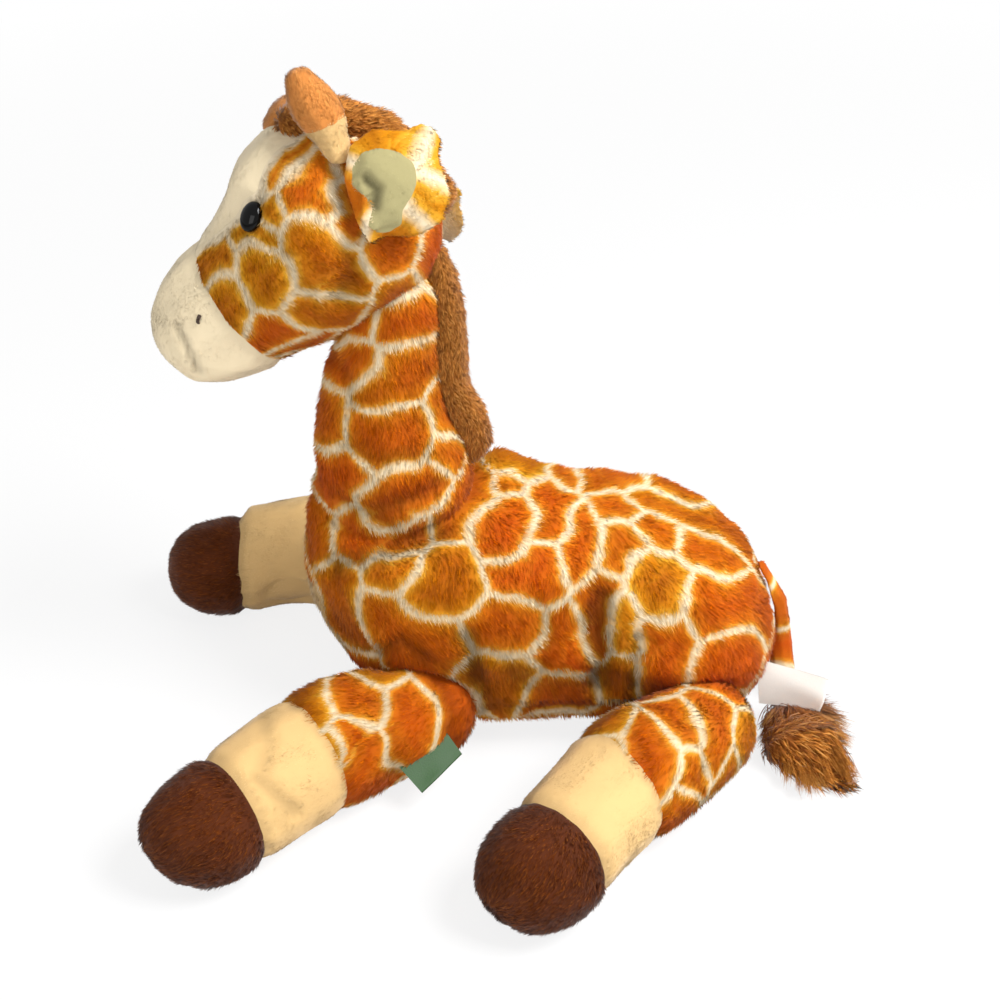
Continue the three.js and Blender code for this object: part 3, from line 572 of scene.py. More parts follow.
# The patches of the coat that the photograph shows. Each row is a tone, from 0 golden to 1 burnt orange, and
# then x and y of the pixels that lie inside the patch.
TRUNK_PATCHES = [
    (0.8, 372, 265, 400, 252, 385, 280), (0.5, 434, 272), (0.9, 340, 325, 360, 310),
    (0.8, 395, 322, 425, 318), (0.8, 330, 362, 355, 365), (0.6, 414, 364, 427, 371, 398, 385, 372, 394),
    (0.5, 440, 350), (0.6, 438, 394, 446, 416), (0.6, 324, 402, 330, 425),
    (0.7, 365, 428, 402, 424, 375, 450, 415, 440), (0.6, 445, 452, 462, 430), (0.8, 317, 457),
    (0.9, 330, 480, 350, 472, 335, 498), (0.8, 430, 481, 402, 490, 377, 505, 386, 520),
    (0.6, 476, 478, 462, 503, 446, 526, 470, 500), (0.6, 510, 482), (0.1, 505, 462, 525, 468),
    (0.9, 490, 520, 520, 512, 502, 545), (0.8, 350, 520, 346, 545, 372, 535, 415, 532, 400, 548),
    (0.6, 315, 522, 322, 545), (0.4, 340, 575, 345, 603, 350, 622), (0.4, 385, 572, 405, 562),
    (0.3, 440, 563, 424, 588, 463, 590, 440, 602), (0.9, 547, 562, 540, 585, 506, 574),
    (0.7, 500, 614, 481, 632, 525, 628, 505, 632), (0.9, 565, 625, 553, 655, 580, 652),
    (0.6, 375, 612, 402, 628, 430, 640, 450, 642, 412, 655), (0.3, 510, 672, 490, 668, 522, 684),
    (0.9, 545, 492, 560, 502, 552, 526), (0.9, 580, 515, 590, 543, 574, 562), (0.7, 605, 507, 623, 509),
    (0.7, 614, 538, 631, 545, 616, 560), (0.7, 645, 525, 664, 538),
    (0.5, 642, 496, 668, 508, 700, 521, 725, 531, 744, 552), (0.6, 592, 484, 615, 479, 635, 480),
    (0.6, 569, 482), (0.5, 658, 483, 682, 492), (0.6, 716, 506, 742, 533, 757, 562),
    (0.7, 690, 550, 715, 556, 736, 563), (0.2, 640, 566, 666, 575, 655, 596, 672, 572, 662, 604),
    (0.8, 700, 587, 735, 602, 706, 616, 746, 586, 761, 612), (0.9, 714, 661, 746, 651, 735, 671),
    (0.8, 650, 635, 671, 650, 660, 675, 676, 636), (0.8, 604, 586, 596, 610, 590, 640),
    (0.2, 625, 612, 628, 640), (0.4, 622, 672), (0.7, 562, 687, 540, 690), (0.5, 702, 696),
]
HEAD_PATCHES = [
    (0.6, 297, 145, 282, 157, 266, 176), (0.7, 320, 165, 312, 188, 330, 206, 292, 198), (0.2, 274, 211),
    (0.35, 303, 234, 330, 250, 318, 272, 338, 286), (0.1, 256, 255, 270, 275, 262, 291),
    (0.1, 240, 231, 262, 238), (0.3, 208, 262, 224, 251), (0.15, 224, 293, 238, 316),
    (0.8, 262, 325, 285, 336), (0.4, 312, 309, 336, 305), (0.6, 300, 343), (0.9, 341, 197, 346, 225),
    (0.8, 346, 163), (0.7, 385, 247),
]
EAR_PATCHES = {
    "left": [
        (0.0, 380, 138, 398, 136, 410, 142), (0.0, 432, 150, 438, 164), (0.0, 425, 190, 430, 205),
        (0.3, 405, 226, 390, 240),
    ],
    "right": [(0.0, 450, 195, 452, 215)],
}
LEG_PATCHES = {
    "foreleg_left": [
        (0.2, 312, 688, 315, 712), (0.7, 345, 685, 366, 701, 352, 702),
        (0.8, 345, 735, 371, 755, 360, 780, 385, 776), (0.2, 333, 743),
        (0.8, 405, 702, 411, 740, 426, 720, 396, 752), (0.8, 440, 681, 455, 706, 450, 726), (0.2, 377, 675),
    ],
    "hindleg_left": [
        (0.2, 606, 724), (0.2, 580, 755, 601, 750), (0.8, 650, 735, 661, 760, 652, 786, 640, 770),
        (0.7, 675, 721, 690, 736), (0.7, 715, 715, 721, 740, 712, 756), (0.6, 698, 765, 691, 785),
        (0.6, 685, 801, 670, 816), (0.2, 745, 741), (0.4, 729, 768),
    ],
}
# How strongly each ear is printed.
EAR_PRINT = {"left": 0.55, "right": 0.09}

# Where the form has to show elsewhere to meet the photograph: x and y of one pixel, then of another.
TRUNK_PULLS = [
    (500, 472, 510, 450), (522, 474, 526, 462), (548, 474, 550, 467),
    (489, 703, 486, 719), (515, 702, 515, 713), (545, 702, 546, 710), (580, 702, 580, 709),
    (608, 700, 608, 707), (336, 362, 330, 362), (330, 400, 323, 400), (326, 440, 316, 440),
    (325, 497, 312, 494), (327, 604, 338, 600), (337, 627, 348, 621),
    (349, 648, 360, 642), (600, 480, 600, 472), (650, 487, 651, 480), (690, 500, 691, 496),
]
HEAD_PULLS = [
    (252, 158, 245, 154), (268, 143, 261, 135), (242, 180, 239, 178), (200, 370, 200, 376),
    (228, 370, 229, 379), (260, 361, 263, 370), (160, 320, 163, 320),
]
LEG_PULLS = {
    "foreleg_left": [
        (205, 775, 203, 772), (228, 757, 223, 750), (252, 742, 246, 732), (272, 726, 265, 715),
        (292, 710, 286, 700), (312, 697, 307, 688), (335, 684, 333, 680), (150, 835, 143, 830),
        (200, 880, 200, 876),
        (235, 873, 238, 875),
    ],
    "foreleg_right": [
        (265, 521, 264, 508), (285, 519, 284, 500), (303, 517, 302, 497), (300, 604, 298, 588),
        (282, 606, 281, 598),
    ],
    "hindleg_left": [
        (545, 795, 542, 792), (570, 765, 567, 761), (488, 880, 483, 880), (598, 737, 592, 730),
        (618, 722, 613, 716), (596, 892, 600, 896),
    ],
}
EAR_PULLS = {
    "left": [
        (392, 146, 393, 131), (410, 144, 411, 129), (425, 152, 430, 145), (430, 205, 436, 206),
        (372, 148, 369, 138),
    ],
    "right": [(449, 226, 455, 200)],
}
HORN_PULLS = {
    "left": [(308, 72, 305, 78)],
    "right": [],
}
MANE_PULLS = {
    "crown_mane": [(352, 110, 352, 106), (375, 120, 376, 116)],
    "neck_mane": [
        (480, 430, 484, 422), (487, 472, 487, 450),
    ],
}

# Folds, as depth and reach in millimetres and then x and y of the pixels that they run along. The deeper a fold,
# the darker the painted shade in it.
TRUNK_FOLDS = [
    (4.0, 7, 330, 562, 365, 560, 400, 547, 436, 530), (7.0, 7, 600, 596, 594, 625, 600, 655, 598, 690),
    (3.5, 5, 637, 640, 632, 665, 634, 690), (2.5, 4, 610, 640, 616, 670, 612, 695),
    (5.0, 7, 466, 640, 478, 680, 484, 715), (2.6, 5, 500, 708, 545, 707, 600, 706, 650, 703, 700, 700),
    (2.2, 6, 345, 446, 385, 462, 425, 455), (2.6, 6, 372, 510, 405, 500, 440, 484),
    (2.6, 6, 340, 500, 362, 512, 395, 530), (2.0, 5, 332, 350, 345, 372, 350, 400),
    (3.0, 5, 375, 655, 400, 640, 425, 660), (1.6, 5, 540, 600, 545, 640, 540, 670),
    (1.8, 5, 490, 655, 510, 665, 530, 690),
]
HEAD_FOLDS = [
    (1.6, 3.2, 259, 197, 254, 214, 244, 231), (2.4, 2.6, 176, 327, 187, 350, 197, 372),
    (1.4, 4, 270, 232, 285, 262, 300, 290), (3.0, 6, 336, 172, 342, 205, 356, 236),
    (3.0, 6, 346, 250, 352, 275, 340, 300),
]
LEG_FOLDS = {
    "foreleg_left": [
        (2.0, 4, 258, 776, 280, 796, 297, 812), (1.2, 5, 262, 716, 268, 745, 262, 768),
        (2.2, 6, 382, 700, 392, 735, 398, 775), (2.0, 6, 440, 680, 455, 715, 450, 745),
    ],
    "hindleg_left": [(1.6, 5, 625, 725, 640, 745, 650, 770), (1.6, 5, 690, 722, 712, 742, 705, 775)],
}
EAR_CREASE = [(364, 180), (375, 190), (372, 206)]

# Edges in the photograph: of the cream blaze and of the near ear's lining, and the tips of the tail's hair.
BLAZE_MARGIN = 6
BLAZE_EDGE = [
    (262, 110), (304, 134), (282, 151), (266, 172), (262, 198), (248, 204), (238, 222), (222, 236),
    (204, 247), (150, 290), (150, 110),
]
EAR_LINING_EDGE = [
    (352, 168), (362, 152), (378, 148), (398, 151), (414, 163), (417, 182), (411, 198), (402, 210),
    (402, 224), (388, 233), (376, 232), (368, 226), (372, 210), (364, 196), (352, 186),
]
TUFT_TIPS = [
    (757, 728), (761, 752), (772, 772), (790, 790), (814, 797), (838, 784), (857, 787), (858, 760),
    (852, 728), (842, 704),
]
TUFT_HEIGHT = 9.0

# The labels' corners in the photograph, at the seam and at the fold, and how near to the camera they hang.
CARE_SEAM, CARE_SEAM_PLACE = [(757, 659), (759, 703)], -38.0
CARE_FOLD, CARE_FOLD_PLACE = [(829, 678), (819, 709)], -39.0
RIBBON_SEAM = [(447, 733), (399, 767)]
RIBBON_FOLD = [(462, 754), (422, 793)]


class Coat:
    """The giraffe pattern on one skin: named patches where the photograph shows them, even ones elsewhere."""

    def __init__(self, skin, patches, spacing, seed, strength=1.0, bare=None):
        points, owner, tone = [], [], []
        for index, (value, *pixels) in enumerate(patches):
            for x, y in pairs(pixels):
                hit = skin.at_pixel(x, y)
                if hit is not None:
                    points.append(hit)
                    owner.append(index)
            tone.append(value)
        dice = np.random.default_rng(seed)
        loose = skin.co[dice.permutation(len(skin.co))]
        far = np.full(len(loose), ENDLESS)
        for point in points:
            far = np.minimum(far, np.linalg.norm(loose - point, axis=1))
        while far.max() > spacing * MM:
            pick = int(np.argmax(far))
            points.append(loose[pick])
            owner.append(len(tone))
            tone.append(dice.uniform(*UNSEEN_TONES))
            far = np.minimum(far, np.linalg.norm(loose - loose[pick], axis=1))
        order = np.argsort(owner, kind="stable")
        self.points = np.array(points)[order]
        self.owner = np.array(owner)[order]
        self.tone = np.array(tone)
        self.seed, self.strength, self.bare = seed, strength, bare

    def at(self, places):
        """The distance in millimetres to the edge of the patch, and the patch's tone, at each place."""
        bent = places.copy()
        for axis in range(3):
            for span, size, shift in COAT_WAVES:
                bent[:, axis] += ripple(places, span, self.seed + shift + axis) * size * MM
        rim = np.empty(len(bent))
        tone = np.empty(len(bent))
        names, starts = np.unique(self.owner, return_index=True)
        for start in range(0, len(bent), COAT_CHUNK):
            rows = slice(start, start + COAT_CHUNK)
            far = np.linalg.norm(bent[rows, None, :] - self.points[None], axis=2) / MM
            near_patch = np.add.reduceat(np.exp(-far / PATCH_BLEND), starts, axis=1)
            row = np.arange(len(far))
            first = near_patch.argmax(1)
            best = -PATCH_BLEND * np.log(near_patch[row, first])
            near_patch[row, first] = 0.0
            second = near_patch.argmax(1)
            next_best = -PATCH_BLEND * np.log(np.maximum(near_patch[row, second], 1e-30))
            mine, theirs = (
                self.points[np.where(self.owner[None] == names[which][:, None], far, ENDLESS).argmin(1)]
                for which in (first, second)
            )
            between = np.maximum(np.linalg.norm(mine - theirs, axis=1) / MM, LEAST_PATCH)
            rim[rows] = (next_best - best) * np.maximum(next_best + best, LEAST_PATCH) / (2 * between)
            tone[rows] = self.tone[names[first]]
        for turn in (1.0, -1.0) if self.bare else ():
            outside = edge_distance(bent * np.array([1.0, turn, 1.0]), self.bare) / PIXELS_PER_MM
            rim = np.where(bent[:, 1] * turn < 0, np.minimum(rim, np.maximum(outside, 0)), rim)
        return rim * self.strength, tone


def grow_fur(name, skin, material, pile, density, width, lie, long, flow, seed, coat):
    """The pile of one piece of cloth: leaf-shaped tufts that lean along the nap, as one mesh."""
    dice = np.random.default_rng(seed)
    untidy = LONG_UNTIDY if long else SHORT_UNTIDY
    count = int(skin.face_area.sum() / MM**2 * density)
    face = dice.choice(len(skin.faces), count, p=skin.face_area / skin.face_area.sum())
    s, t = dice.random((2, count))
    weight = np.stack([(1 - s) * (1 - t), s * (1 - t), s * t, (1 - s) * t], 1)
    corner = skin.faces[face]
    root = (skin.co[corner] * weight[:, :, None]).sum(1)
    normal = unit((skin.normal[corner] * weight[:, :, None]).sum(1))
    nap = unit(flow - normal * (flow * normal).sum(1, keepdims=True))
    side = np.cross(normal, nap)
    turn = ripple(root, TURN_WAVE, seed + 1) * TURN_SIZE + dice.normal(0, untidy * TURN_STRAY, count)
    nap = nap * np.cos(turn)[:, None] + side * np.sin(turn)[:, None]
    slope = lie * (1 + LEAN_SIZE * ripple(root, LEAN_WAVE, seed + 2)) + dice.normal(0, untidy, count)
    slope = np.clip(slope, LEAST_LEAN, MOST_LEAN)
    length = pile * MM * dice.uniform(*TUFT_LENGTHS, count)
    length = length * (1 + LENGTH_SIZE * ripple(root, LENGTH_WAVE, seed + 3))
    leans = (slope[:, None], slope[:, None] * 1.5)
    rise, bow = (normal * np.cos(lean) + nap * np.sin(lean) for lean in leans)
    middle = root + rise * (length * 0.5)[:, None]
    tip = middle + bow * (length * 0.5)[:, None]
    warp = np.stack([ripple(root, CLUMP_WAVE, seed + 4 + i) for i in range(3)], 1)
    warped = root + warp * CLUMP_WARP * MM
    _, group = np.unique(np.floor(warped / (CLUMP_SIDE * MM)).astype(int), axis=0, return_inverse=True)
    group = group.ravel()
    members = np.maximum(np.bincount(group), 1)
    centre = np.stack([np.bincount(group, tip[:, i]) / members for i in range(3)], 1)
    tip += (centre[group] - tip) * CLUMPING
    root = root - normal * BLADE_SINK * MM
    spin = unit(np.cross(rise, unit(dice.normal(size=(count, 3)))))
    half = spin * (width * MM * 0.5 * dice.uniform(*TUFT_WIDTHS, count))[:, None]
    if long:
        corners, levels = [root, middle + half, middle - half, tip], [0.0, 0.55, 0.55, 1.0]
        pattern = [[0, 1, 2], [2, 1, 3]]
    else:
        corners, levels = [root + half, root - half, tip], [0.0, 0.0, 1.0]
        pattern = [[0, 1, 2]]
    sides = len(corners)
    co = np.stack(corners, 1).reshape(-1, 3)
    co[:, 2] = np.maximum(co[:, 2], FLOOR_LIFT * MM)
    base = np.arange(count)[:, None] * sides
    piece = mesh_object(name, co, np.stack([base + row for row in pattern], 1).reshape(-1, 3))
    soft = unit(normal + nap * SHADING_LEAN + dice.normal(0, SHADING_STRAY, (count, 3)))
    piece.data.normals_split_custom_set_from_vertices(np.repeat(soft, sides, axis=0))
    # Each tuft carries the depth of its fold, for the painted shade there.
    numbers = {"strand": dice.random(count), "fold": (skin.fold[corner] * weight).sum(1)}
    if coat:
        rim, numbers["tone"] = coat.at(root + nap * (length * np.sin(slope))[:, None] * 0.5)
        numbers["rim"] = rim + dice.normal(0, RIM_STRAY, count)
    numbers = {key: np.repeat(values, sides) for key, values in numbers.items()}
    return paint(piece, material, along=np.tile(levels, count), **numbers)


def lay_skin(name, skin, material, coat):
    """The cloth backing under the pile, in the colours of the pile near its roots, with their painted shade."""
    skin.co[:, 2] = np.maximum(skin.co[:, 2], FLOOR_LIFT * MM)
    level = np.ones(len(skin.co))
    print_on = dict(zip(("rim", "tone"), coat.at(skin.co))) if coat else {}
    piece = mesh_object(name, skin.co, skin.faces)
    return paint(piece, material, along=level * BACKING_LEVEL, strand=level * 0.5, fold=skin.fold, **print_on)


def pile_material(name, colours, contrast=1.0, sheen=0.15):
    """Polyester plush pile: soft, matt, faintly bright at grazing angles, with painted shade at its roots and in
    folds.

    colours are those of the roots, the middle and the tips, or for a spotted coat the stops of a golden and a
    burnt patch from its cream line inwards."""
    made, tree, surface = new_material(name)
    spotted = isinstance(colours, dict)
    keys = ["along", "strand", "fold", "rim", "tone"][: 5 if spotted else 3]
    along, strand, fold, *coat = (add_node(tree, "Attribute", "Fac", attribute_name=key) for key in keys)
    if spotted:
        share = add_node(tree, "MapRange", "Result", {"Value": coat[0], "From Max": RIM_FULL})
        stops = ([(place, linear(dye)) for place, dye in colours[shade]] for shade in ("golden", "burnt"))
        golden, burnt = (add_node(tree, "ValToRGB", "Color", {"Fac": share}, row) for row in stops)
        colour = add_node(tree, "Mix", 2, {0: coat[1], 6: golden, 7: burnt}, data_type="RGBA")
    else:
        share = add_node(tree, "Math", 0, {0: strand, 1: along}, operation="MULTIPLY")
        stops = [(place, linear(dye)) for place, dye in zip((0.0, 0.5, 1.0), colours)]
        colour = add_node(tree, "ValToRGB", "Color", {"Fac": share}, stops)
    place = add_node(tree, "TexCoord", "Object")
    broad, fine = (
        add_node(tree, "TexNoise", "Fac", {"Vector": place, "Scale": 1 / (span * MM), "Detail": detail})
        for span, detail in (PILE_CLOUDS, PILE_GRAIN)
    )
    # The colour's multiplier, one factor per row: painted shade towards the roots, random clouds of tone, random
    # tone from strand to strand, and painted shade in folds.
    light = None
    for value, start, end, low, high in (
        (along, 0.0, 1.0, 1 - 0.28 * contrast, 1.03),
        (broad, 0.3, 0.7, 1 - 0.12 * contrast, 1.06),
        (strand, 0.0, 1.0, 1 - 0.1 * contrast, 1 + 0.08 * contrast),
        (fold, 0.0, 1.0, 1.0, 0.45),
    ):
        span = {"Value": value, "From Min": start, "From Max": end, "To Min": low, "To Max": high}
        factor = add_node(tree, "MapRange", "Result", span)
        light = add_node(tree, "Math", 0, {0: light, 1: factor}, operation="MULTIPLY") if light else factor
    rough = {"Value": fine, "To Min": PILE_ROUGHNESS - 0.1, "To Max": PILE_ROUGHNESS + 0.1}
    # Both sides of a tuft take the light as its front does.
    back = add_node(tree, "NewGeometry", "Backfacing")
    turned = add_node(tree, "MapRange", "Result", {"Value": back, "To Min": 1.0, "To Max": -1.0})
    front = {0: back.node.outputs["Normal"], "Scale": turned}
    set_inputs(surface, {
        "Base Color": add_node(tree, "VectorMath", "Vector", {0: colour, "Scale": light}, operation="SCALE"),
        "Roughness": add_node(tree, "MapRange", "Result", rough),
        "Normal": add_node(tree, "VectorMath", "Vector", front, operation="SCALE"),
        "Sheen Weight": sheen,
        "Sheen Roughness": 0.45,
        "Specular IOR Level": 0.15,
    })
    return made


def plain_material(name, colour, roughness, specular=0.5, scale=2.0, depth=0.15, sheen=0.0, vary=0.06):
    """A cloth, thread or moulded plastic of one dye, with slight variation and grain of scale millimetres."""
    made, tree, surface = new_material(name)
    spot = add_node(tree, "TexCoord", "Object")
    grain = add_node(tree, "TexNoise", "Fac", {"Vector": spot, "Scale": 1 / (scale * MM), "Detail": 3.0})
    dyes = (np.minimum(1.0, np.array(linear(colour)[:3]) * share) for share in (1 - vary, 1 + vary))
    stops = [(place, (*dye, 1.0)) for place, dye in zip((0.3, 0.7), dyes)]
    rough = {"Value": grain, "To Min": max(roughness - 0.05, 0.02), "To Max": roughness + 0.05}
    bump = {"Height": grain, "Strength": depth, "Distance": 0.2 * MM}
    set_inputs(surface, {
        "Base Color": add_node(tree, "ValToRGB", "Color", {"Fac": grain}, stops),
        "Roughness": add_node(tree, "MapRange", "Result", rough),
        "Normal": add_node(tree, "Bump", "Normal", bump),
        "Specular IOR Level": specular,
        "Sheen Weight": sheen,
    })
    return made


COAT_COLOURS = {
    "burnt": [(0.0, "#F9E6C4"), (0.12, "#F4D5A4"), (0.25, "#E8982A"), (0.42, "#D66608"), (1.0, "#C65000")],
    "golden": [(0.0, "#F9E6C4"), (0.12, "#F4D5A4"), (0.25, "#E8AC30"), (0.45, "#D2880C"), (1.0, "#B96A04")],
}
# The print: cream lines that bleed softly into patches of burnt orange and of gold, with a faint bloom.
spotted_plush = pile_material("printed polyester plush", COAT_COLOURS, sheen=0.05)
# Dyed plush with its nap laid flat: an even warm cream, with faint painted shade at the roots.
cream_plush = pile_material("cream polyester plush", ("#CFAA70", "#D7B681", "#DEC295"), 0.25)
# Short sheared plush: pale, chalky and almost smooth.
muzzle_plush = pile_material("short pale plush of the muzzle", ("#E4D2AE", "#E9D9BA", "#EFE2C8"), 0.15, 0.1)
# Brown tips over dark roots, whose painted shade makes the hooves look deep.
hoof_plush = pile_material("brown plush of the hooves", ("#4C2008", "#6A330B", "#96571C"), 0.8)
# Long russet strands whose lighter tips stand out against roots darkened by painted shade.
mane_plush = pile_material("russet long pile of the mane", ("#9C5C22", "#BA7834", "#D2964C"), 0.6)
# Velvet: a warm tan with a soft edge of light round each horn.
horn_plush = pile_material("tan velvet of the horn tips", ("#C07838", "#CE8A46", "#DAA05C"), 0.4, 0.2)
# Hair that runs from dark brown at the root to straw at the tip, its roots darkened further by painted shade.
tuft_plush = pile_material("long brown hair of the tail", ("#7A3E12", "#AC6A28", "#DCA658"), 0.7)
# A dull grey-green cloth with a brushed face, flat beside the print.
ear_nap = pile_material("brushed grey-green nap of the ear", ("#A0976A", "#B0A77A", "#C0B88E"), 0.35)
# Polished acrylic: deep black with one small sharp highlight.
eye_plastic = plain_material("glossy black acrylic", "#040303", 0.07, 0.14, scale=6, depth=0.0, vary=0.3)
# Moulded nylon: plain off-white, hidden inside the head.
washer_plastic = plain_material("moulded white nylon", "#E8E6DF", 0.45, scale=1.5)
# Sewing thread: dark, matt and slightly uneven.
stitch_thread = plain_material("dark brown sewing thread", "#3A281C", 0.7, scale=0.6, depth=0.6, vary=0.3)
# Satin: white with a faint weave and a soft shine.
label_cloth = plain_material(
    "woven white satin label", "#F4F1EA", 0.5, scale=0.8, depth=0.3, sheen=0.2, vary=0.02,
)
# Ribbon: deep green with the slight grain of its weave.
ribbon_cloth = plain_material(
    "green woven ribbon", "#1A4210", 0.6, scale=0.8, depth=0.5, sheen=0.05, vary=0.1,
)

# The plush of each kind of cloth: its slot and material, the length of its pile, the tufts on a square
# millimetre, a tuft's width, how far it lies over in radians, and whether the pile is long.
PLUSH = {
    "body": ("spotted_plush", spotted_plush, 5.2, 0.9, 0.9, 1.0, False),
    "belly": ("cream_plush", cream_plush, 5.2, 0.9, 0.9, 1.0, False),
    "head": ("spotted_plush", spotted_plush, 4.2, 1.1, 0.8, 1.0, False),
    "blaze": ("cream_plush", muzzle_plush, 2.1, 2.0, 0.6, 1.2, False),
    "muzzle": ("muzzle_plush", muzzle_plush, 2.1, 2.0, 0.6, 1.2, False),
    "cuff": ("cream_plush", cream_plush, 2.5, 1.8, 0.65, 1.2, False),
    "hoof": ("hoof_plush", hoof_plush, 4.5, 1.1, 0.9, 1.0, False),
    "ear": ("spotted_plush", spotted_plush, 2.4, 1.3, 0.8, 1.0, False),
    "lining": ("ear_felt", ear_nap, 1.6, 2.2, 0.6, 1.15, False),
    "stem": ("cream_plush", cream_plush, 2.2, 2.0, 0.7, 1.0, False),
    "horn": ("mane_plush", horn_plush, 2.8, 2.6, 0.6, 1.1, False),
    "crown_mane": ("mane_plush", mane_plush, 6.0, 2.0, 0.7, 0.9, True),
    "neck_mane": ("mane_plush", mane_plush, 5.0, 2.0, 0.7, 0.95, True),
    "tail_cover": ("spotted_plush", spotted_plush, 2.4, 1.6, 0.7, 1.15, False),
    "tail_tuft": ("tuft_plush", tuft_plush, 12.0, 1.0, 0.9, 1.2, True),
}


def carry(piece, body):
    """Joins the piece to its body; a piece of the bend between the trunk and the neck stays free, with its
    placement baked into its points.
    """
    if body == "bend":
        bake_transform(piece)
    else:
        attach(piece, body)


def dress(cover, skin, body, plush, flow, seed, coat=None, filling=()):
    """Lays the backing cloth and its pile in place of the CAD nodes that they stand for."""
    slot, material, *pile = PLUSH[plush]
    backing = lay_skin(cover + "_cloth", skin, material, coat)
    carry(backing, body)
    fur = grow_fur(cover + "_pile", skin, material, *pile, np.array(flow), seed, coat)
    carry(fur, body)
    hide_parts(cover, *filling)


def dress_group(skin, owner, body, covers, rows):
    """Cuts one skin into its covers and dresses each, by its row of plush, flow, seed, coat and filling."""
    even_seams(skin, owner)
    for index, (cover, row) in enumerate(zip(covers, rows)):
        dress(cover, skin.part(owner == index), body, *row)


# Trunk and neck.
trunk = sewn_form(["torso_stuffing", "neck_stuffing"], TRUNK_VOXEL)
covers = ["torso_cover", "belly_panel", "neck_cover"]
owner = nearest_cover(trunk, covers)
pull(trunk, TRUNK_PULLS, BRUSH["trunk"])
shape_cloth(trunk, owner, TRUNK_FOLDS, TRUNK_SWELL, SOFT_SEAM_DEPTH)
give_room(trunk, "tail_swing", "tail_cover", TAIL_GAP)
give_room(trunk, "foreleg_right_splay", "foreleg_right_cover", LEG_GAP)
coat = Coat(trunk, TRUNK_PATCHES, SPACING["trunk"], 3)
dress_group(trunk, owner, "bend", covers, [
    ("body", (0.45, 0.0, -0.9), 11, coat, ["torso_stuffing"]),
    ("belly", (0.8, 0.0, -0.4), 13),
    ("body", (0.2, 0.0, -1.0), 12, coat, ["neck_stuffing"]),
])

# Head.
head = sewn_form(["head_stuffing"], LIMB_VOXEL)
covers = ["head_cover", "blaze_panel", "muzzle_cover"]
owner = nearest_cover(head, covers)
pull(head, HEAD_PULLS, BRUSH["head"])
for mirrored in (False, True):
    owner[inside_pixels(head, BLAZE_EDGE, BLAZE_MARGIN, mirrored) & (owner == 0)] = 1
shape_cloth(head, owner, HEAD_FOLDS, LIMB_SWELL, SOFT_SEAM_DEPTH)
coat = Coat(head, HEAD_PATCHES, SPACING["head"], 5, bare=BLAZE_EDGE)
dress_group(head, owner, "head", covers, [
    ("head", (0.6, 0.0, -0.7), 21, coat, ["head_stuffing"]),
    ("blaze", (-0.5, 0.0, -0.75), 22),
    ("muzzle", (0.5, 0.0, -0.75), 23),
])

# Legs.
leg_forms = {}
for number, leg in enumerate(["foreleg_left", "foreleg_right", "hindleg_left", "hindleg_right"]):
    form = leg_forms[leg] = sewn_form([leg + "_stuffing"], LIMB_VOXEL)
    covers = [leg + "_cover", leg + "_cuff", leg + "_hoof"]
    owner = nearest_cover(form, covers)
    pull(form, LEG_PULLS.get(leg, []), BRUSH["leg"])
    shape_cloth(form, owner, LEG_FOLDS.get(leg, []), LIMB_SWELL, SEAM_DEPTH)
    coat = Coat(form, LEG_PATCHES.get(leg, []), SPACING["leg"], 31 + number)
    down = node_centre(covers[2]) - node_centre(covers[0])
    dress_group(form, owner, leg, covers, [
        ("body", down, 41 + number, coat, [leg + "_stuffing"]),
        ("cuff", down, 51 + number),
        ("hoof", down, 61 + number),
    ])

# Ears and horns: each is one sewn form of two cloths.
for number, side in enumerate(["left", "right"]):
    covers = [f"ear_{side}_back", f"ear_{side}_lining"]
    form = sewn_form(covers, EAR_VOXEL, EAR_INSET, rounds=14)
    owner = nearest_cover(form, covers)
    pull(form, EAR_PULLS[side], BRUSH["ear"])
    if side == "left":
        owner = inside_pixels(form, EAR_LINING_EDGE).astype(int)
        push_in(form, seen_line(form, EAR_CREASE), depth=3.5, reach=3.0)
    coat = Coat(form, EAR_PATCHES[side], SPACING["ear"], 71 + number, strength=EAR_PRINT[side])
    dress_group(form, owner, "ear_" + side, covers, [
        ("ear", (1.0, 0.0, -0.2), 73 + number, coat),
        ("lining", (0.3, 0.0, -1.0), 75 + number),
    ])

    covers = [f"horn_{side}_stem", f"horn_{side}_tip"]
    form = sewn_form(covers, SMALL_VOXEL, HORN_INSET, rounds=12)
    owner = nearest_cover(form, covers)
    pull(form, HORN_PULLS[side], BRUSH["horn"])
    up = node_centre(covers[1]) - node_centre(covers[0])
    dress_group(form, owner, "horn_" + side, covers, [("stem", up, 77 + number), ("horn", up, 79 + number)])

# Manes and tail: each node, its body, the way its pile flows, its inset and the skin that it is laid onto.
MANES = [
    ("crown_mane", "head", (0.7, 0.0, -0.2), 1.6, head),
    ("neck_mane", "bend", (0.3, 0.0, -1.0), 1.2, trunk),
    ("tail_cover", "tail", (0.2, 0.0, -1.0), 0.6, None),
    ("tail_tuft", "tail", (0.7, -0.5, -0.2), 4.0, None),
]
for number, (node, body, flow, inset, bed) in enumerate(MANES):
    form = sewn_form([node], SMALL_VOXEL, inset, rounds=3)
    pull(form, MANE_PULLS.get(node, []), BRUSH["mane"])
    if node == "neck_mane":
        top = np.clip((form.co[:, 2] - form.co[:, 2].max()) / (MANE_TOP_LENGTH * MM) + 1, 0, 1)
        form.co += top[:, None] ** 2 * np.array(MANE_TOP_SHIFT) * MM
        form.measure()
    if bed:
        settle(form, bed)
    coat = Coat(form, [], SPACING["tail"], 81) if node == "tail_cover" else None
    dress(node, form, body, node, flow, 91 + number, coat)


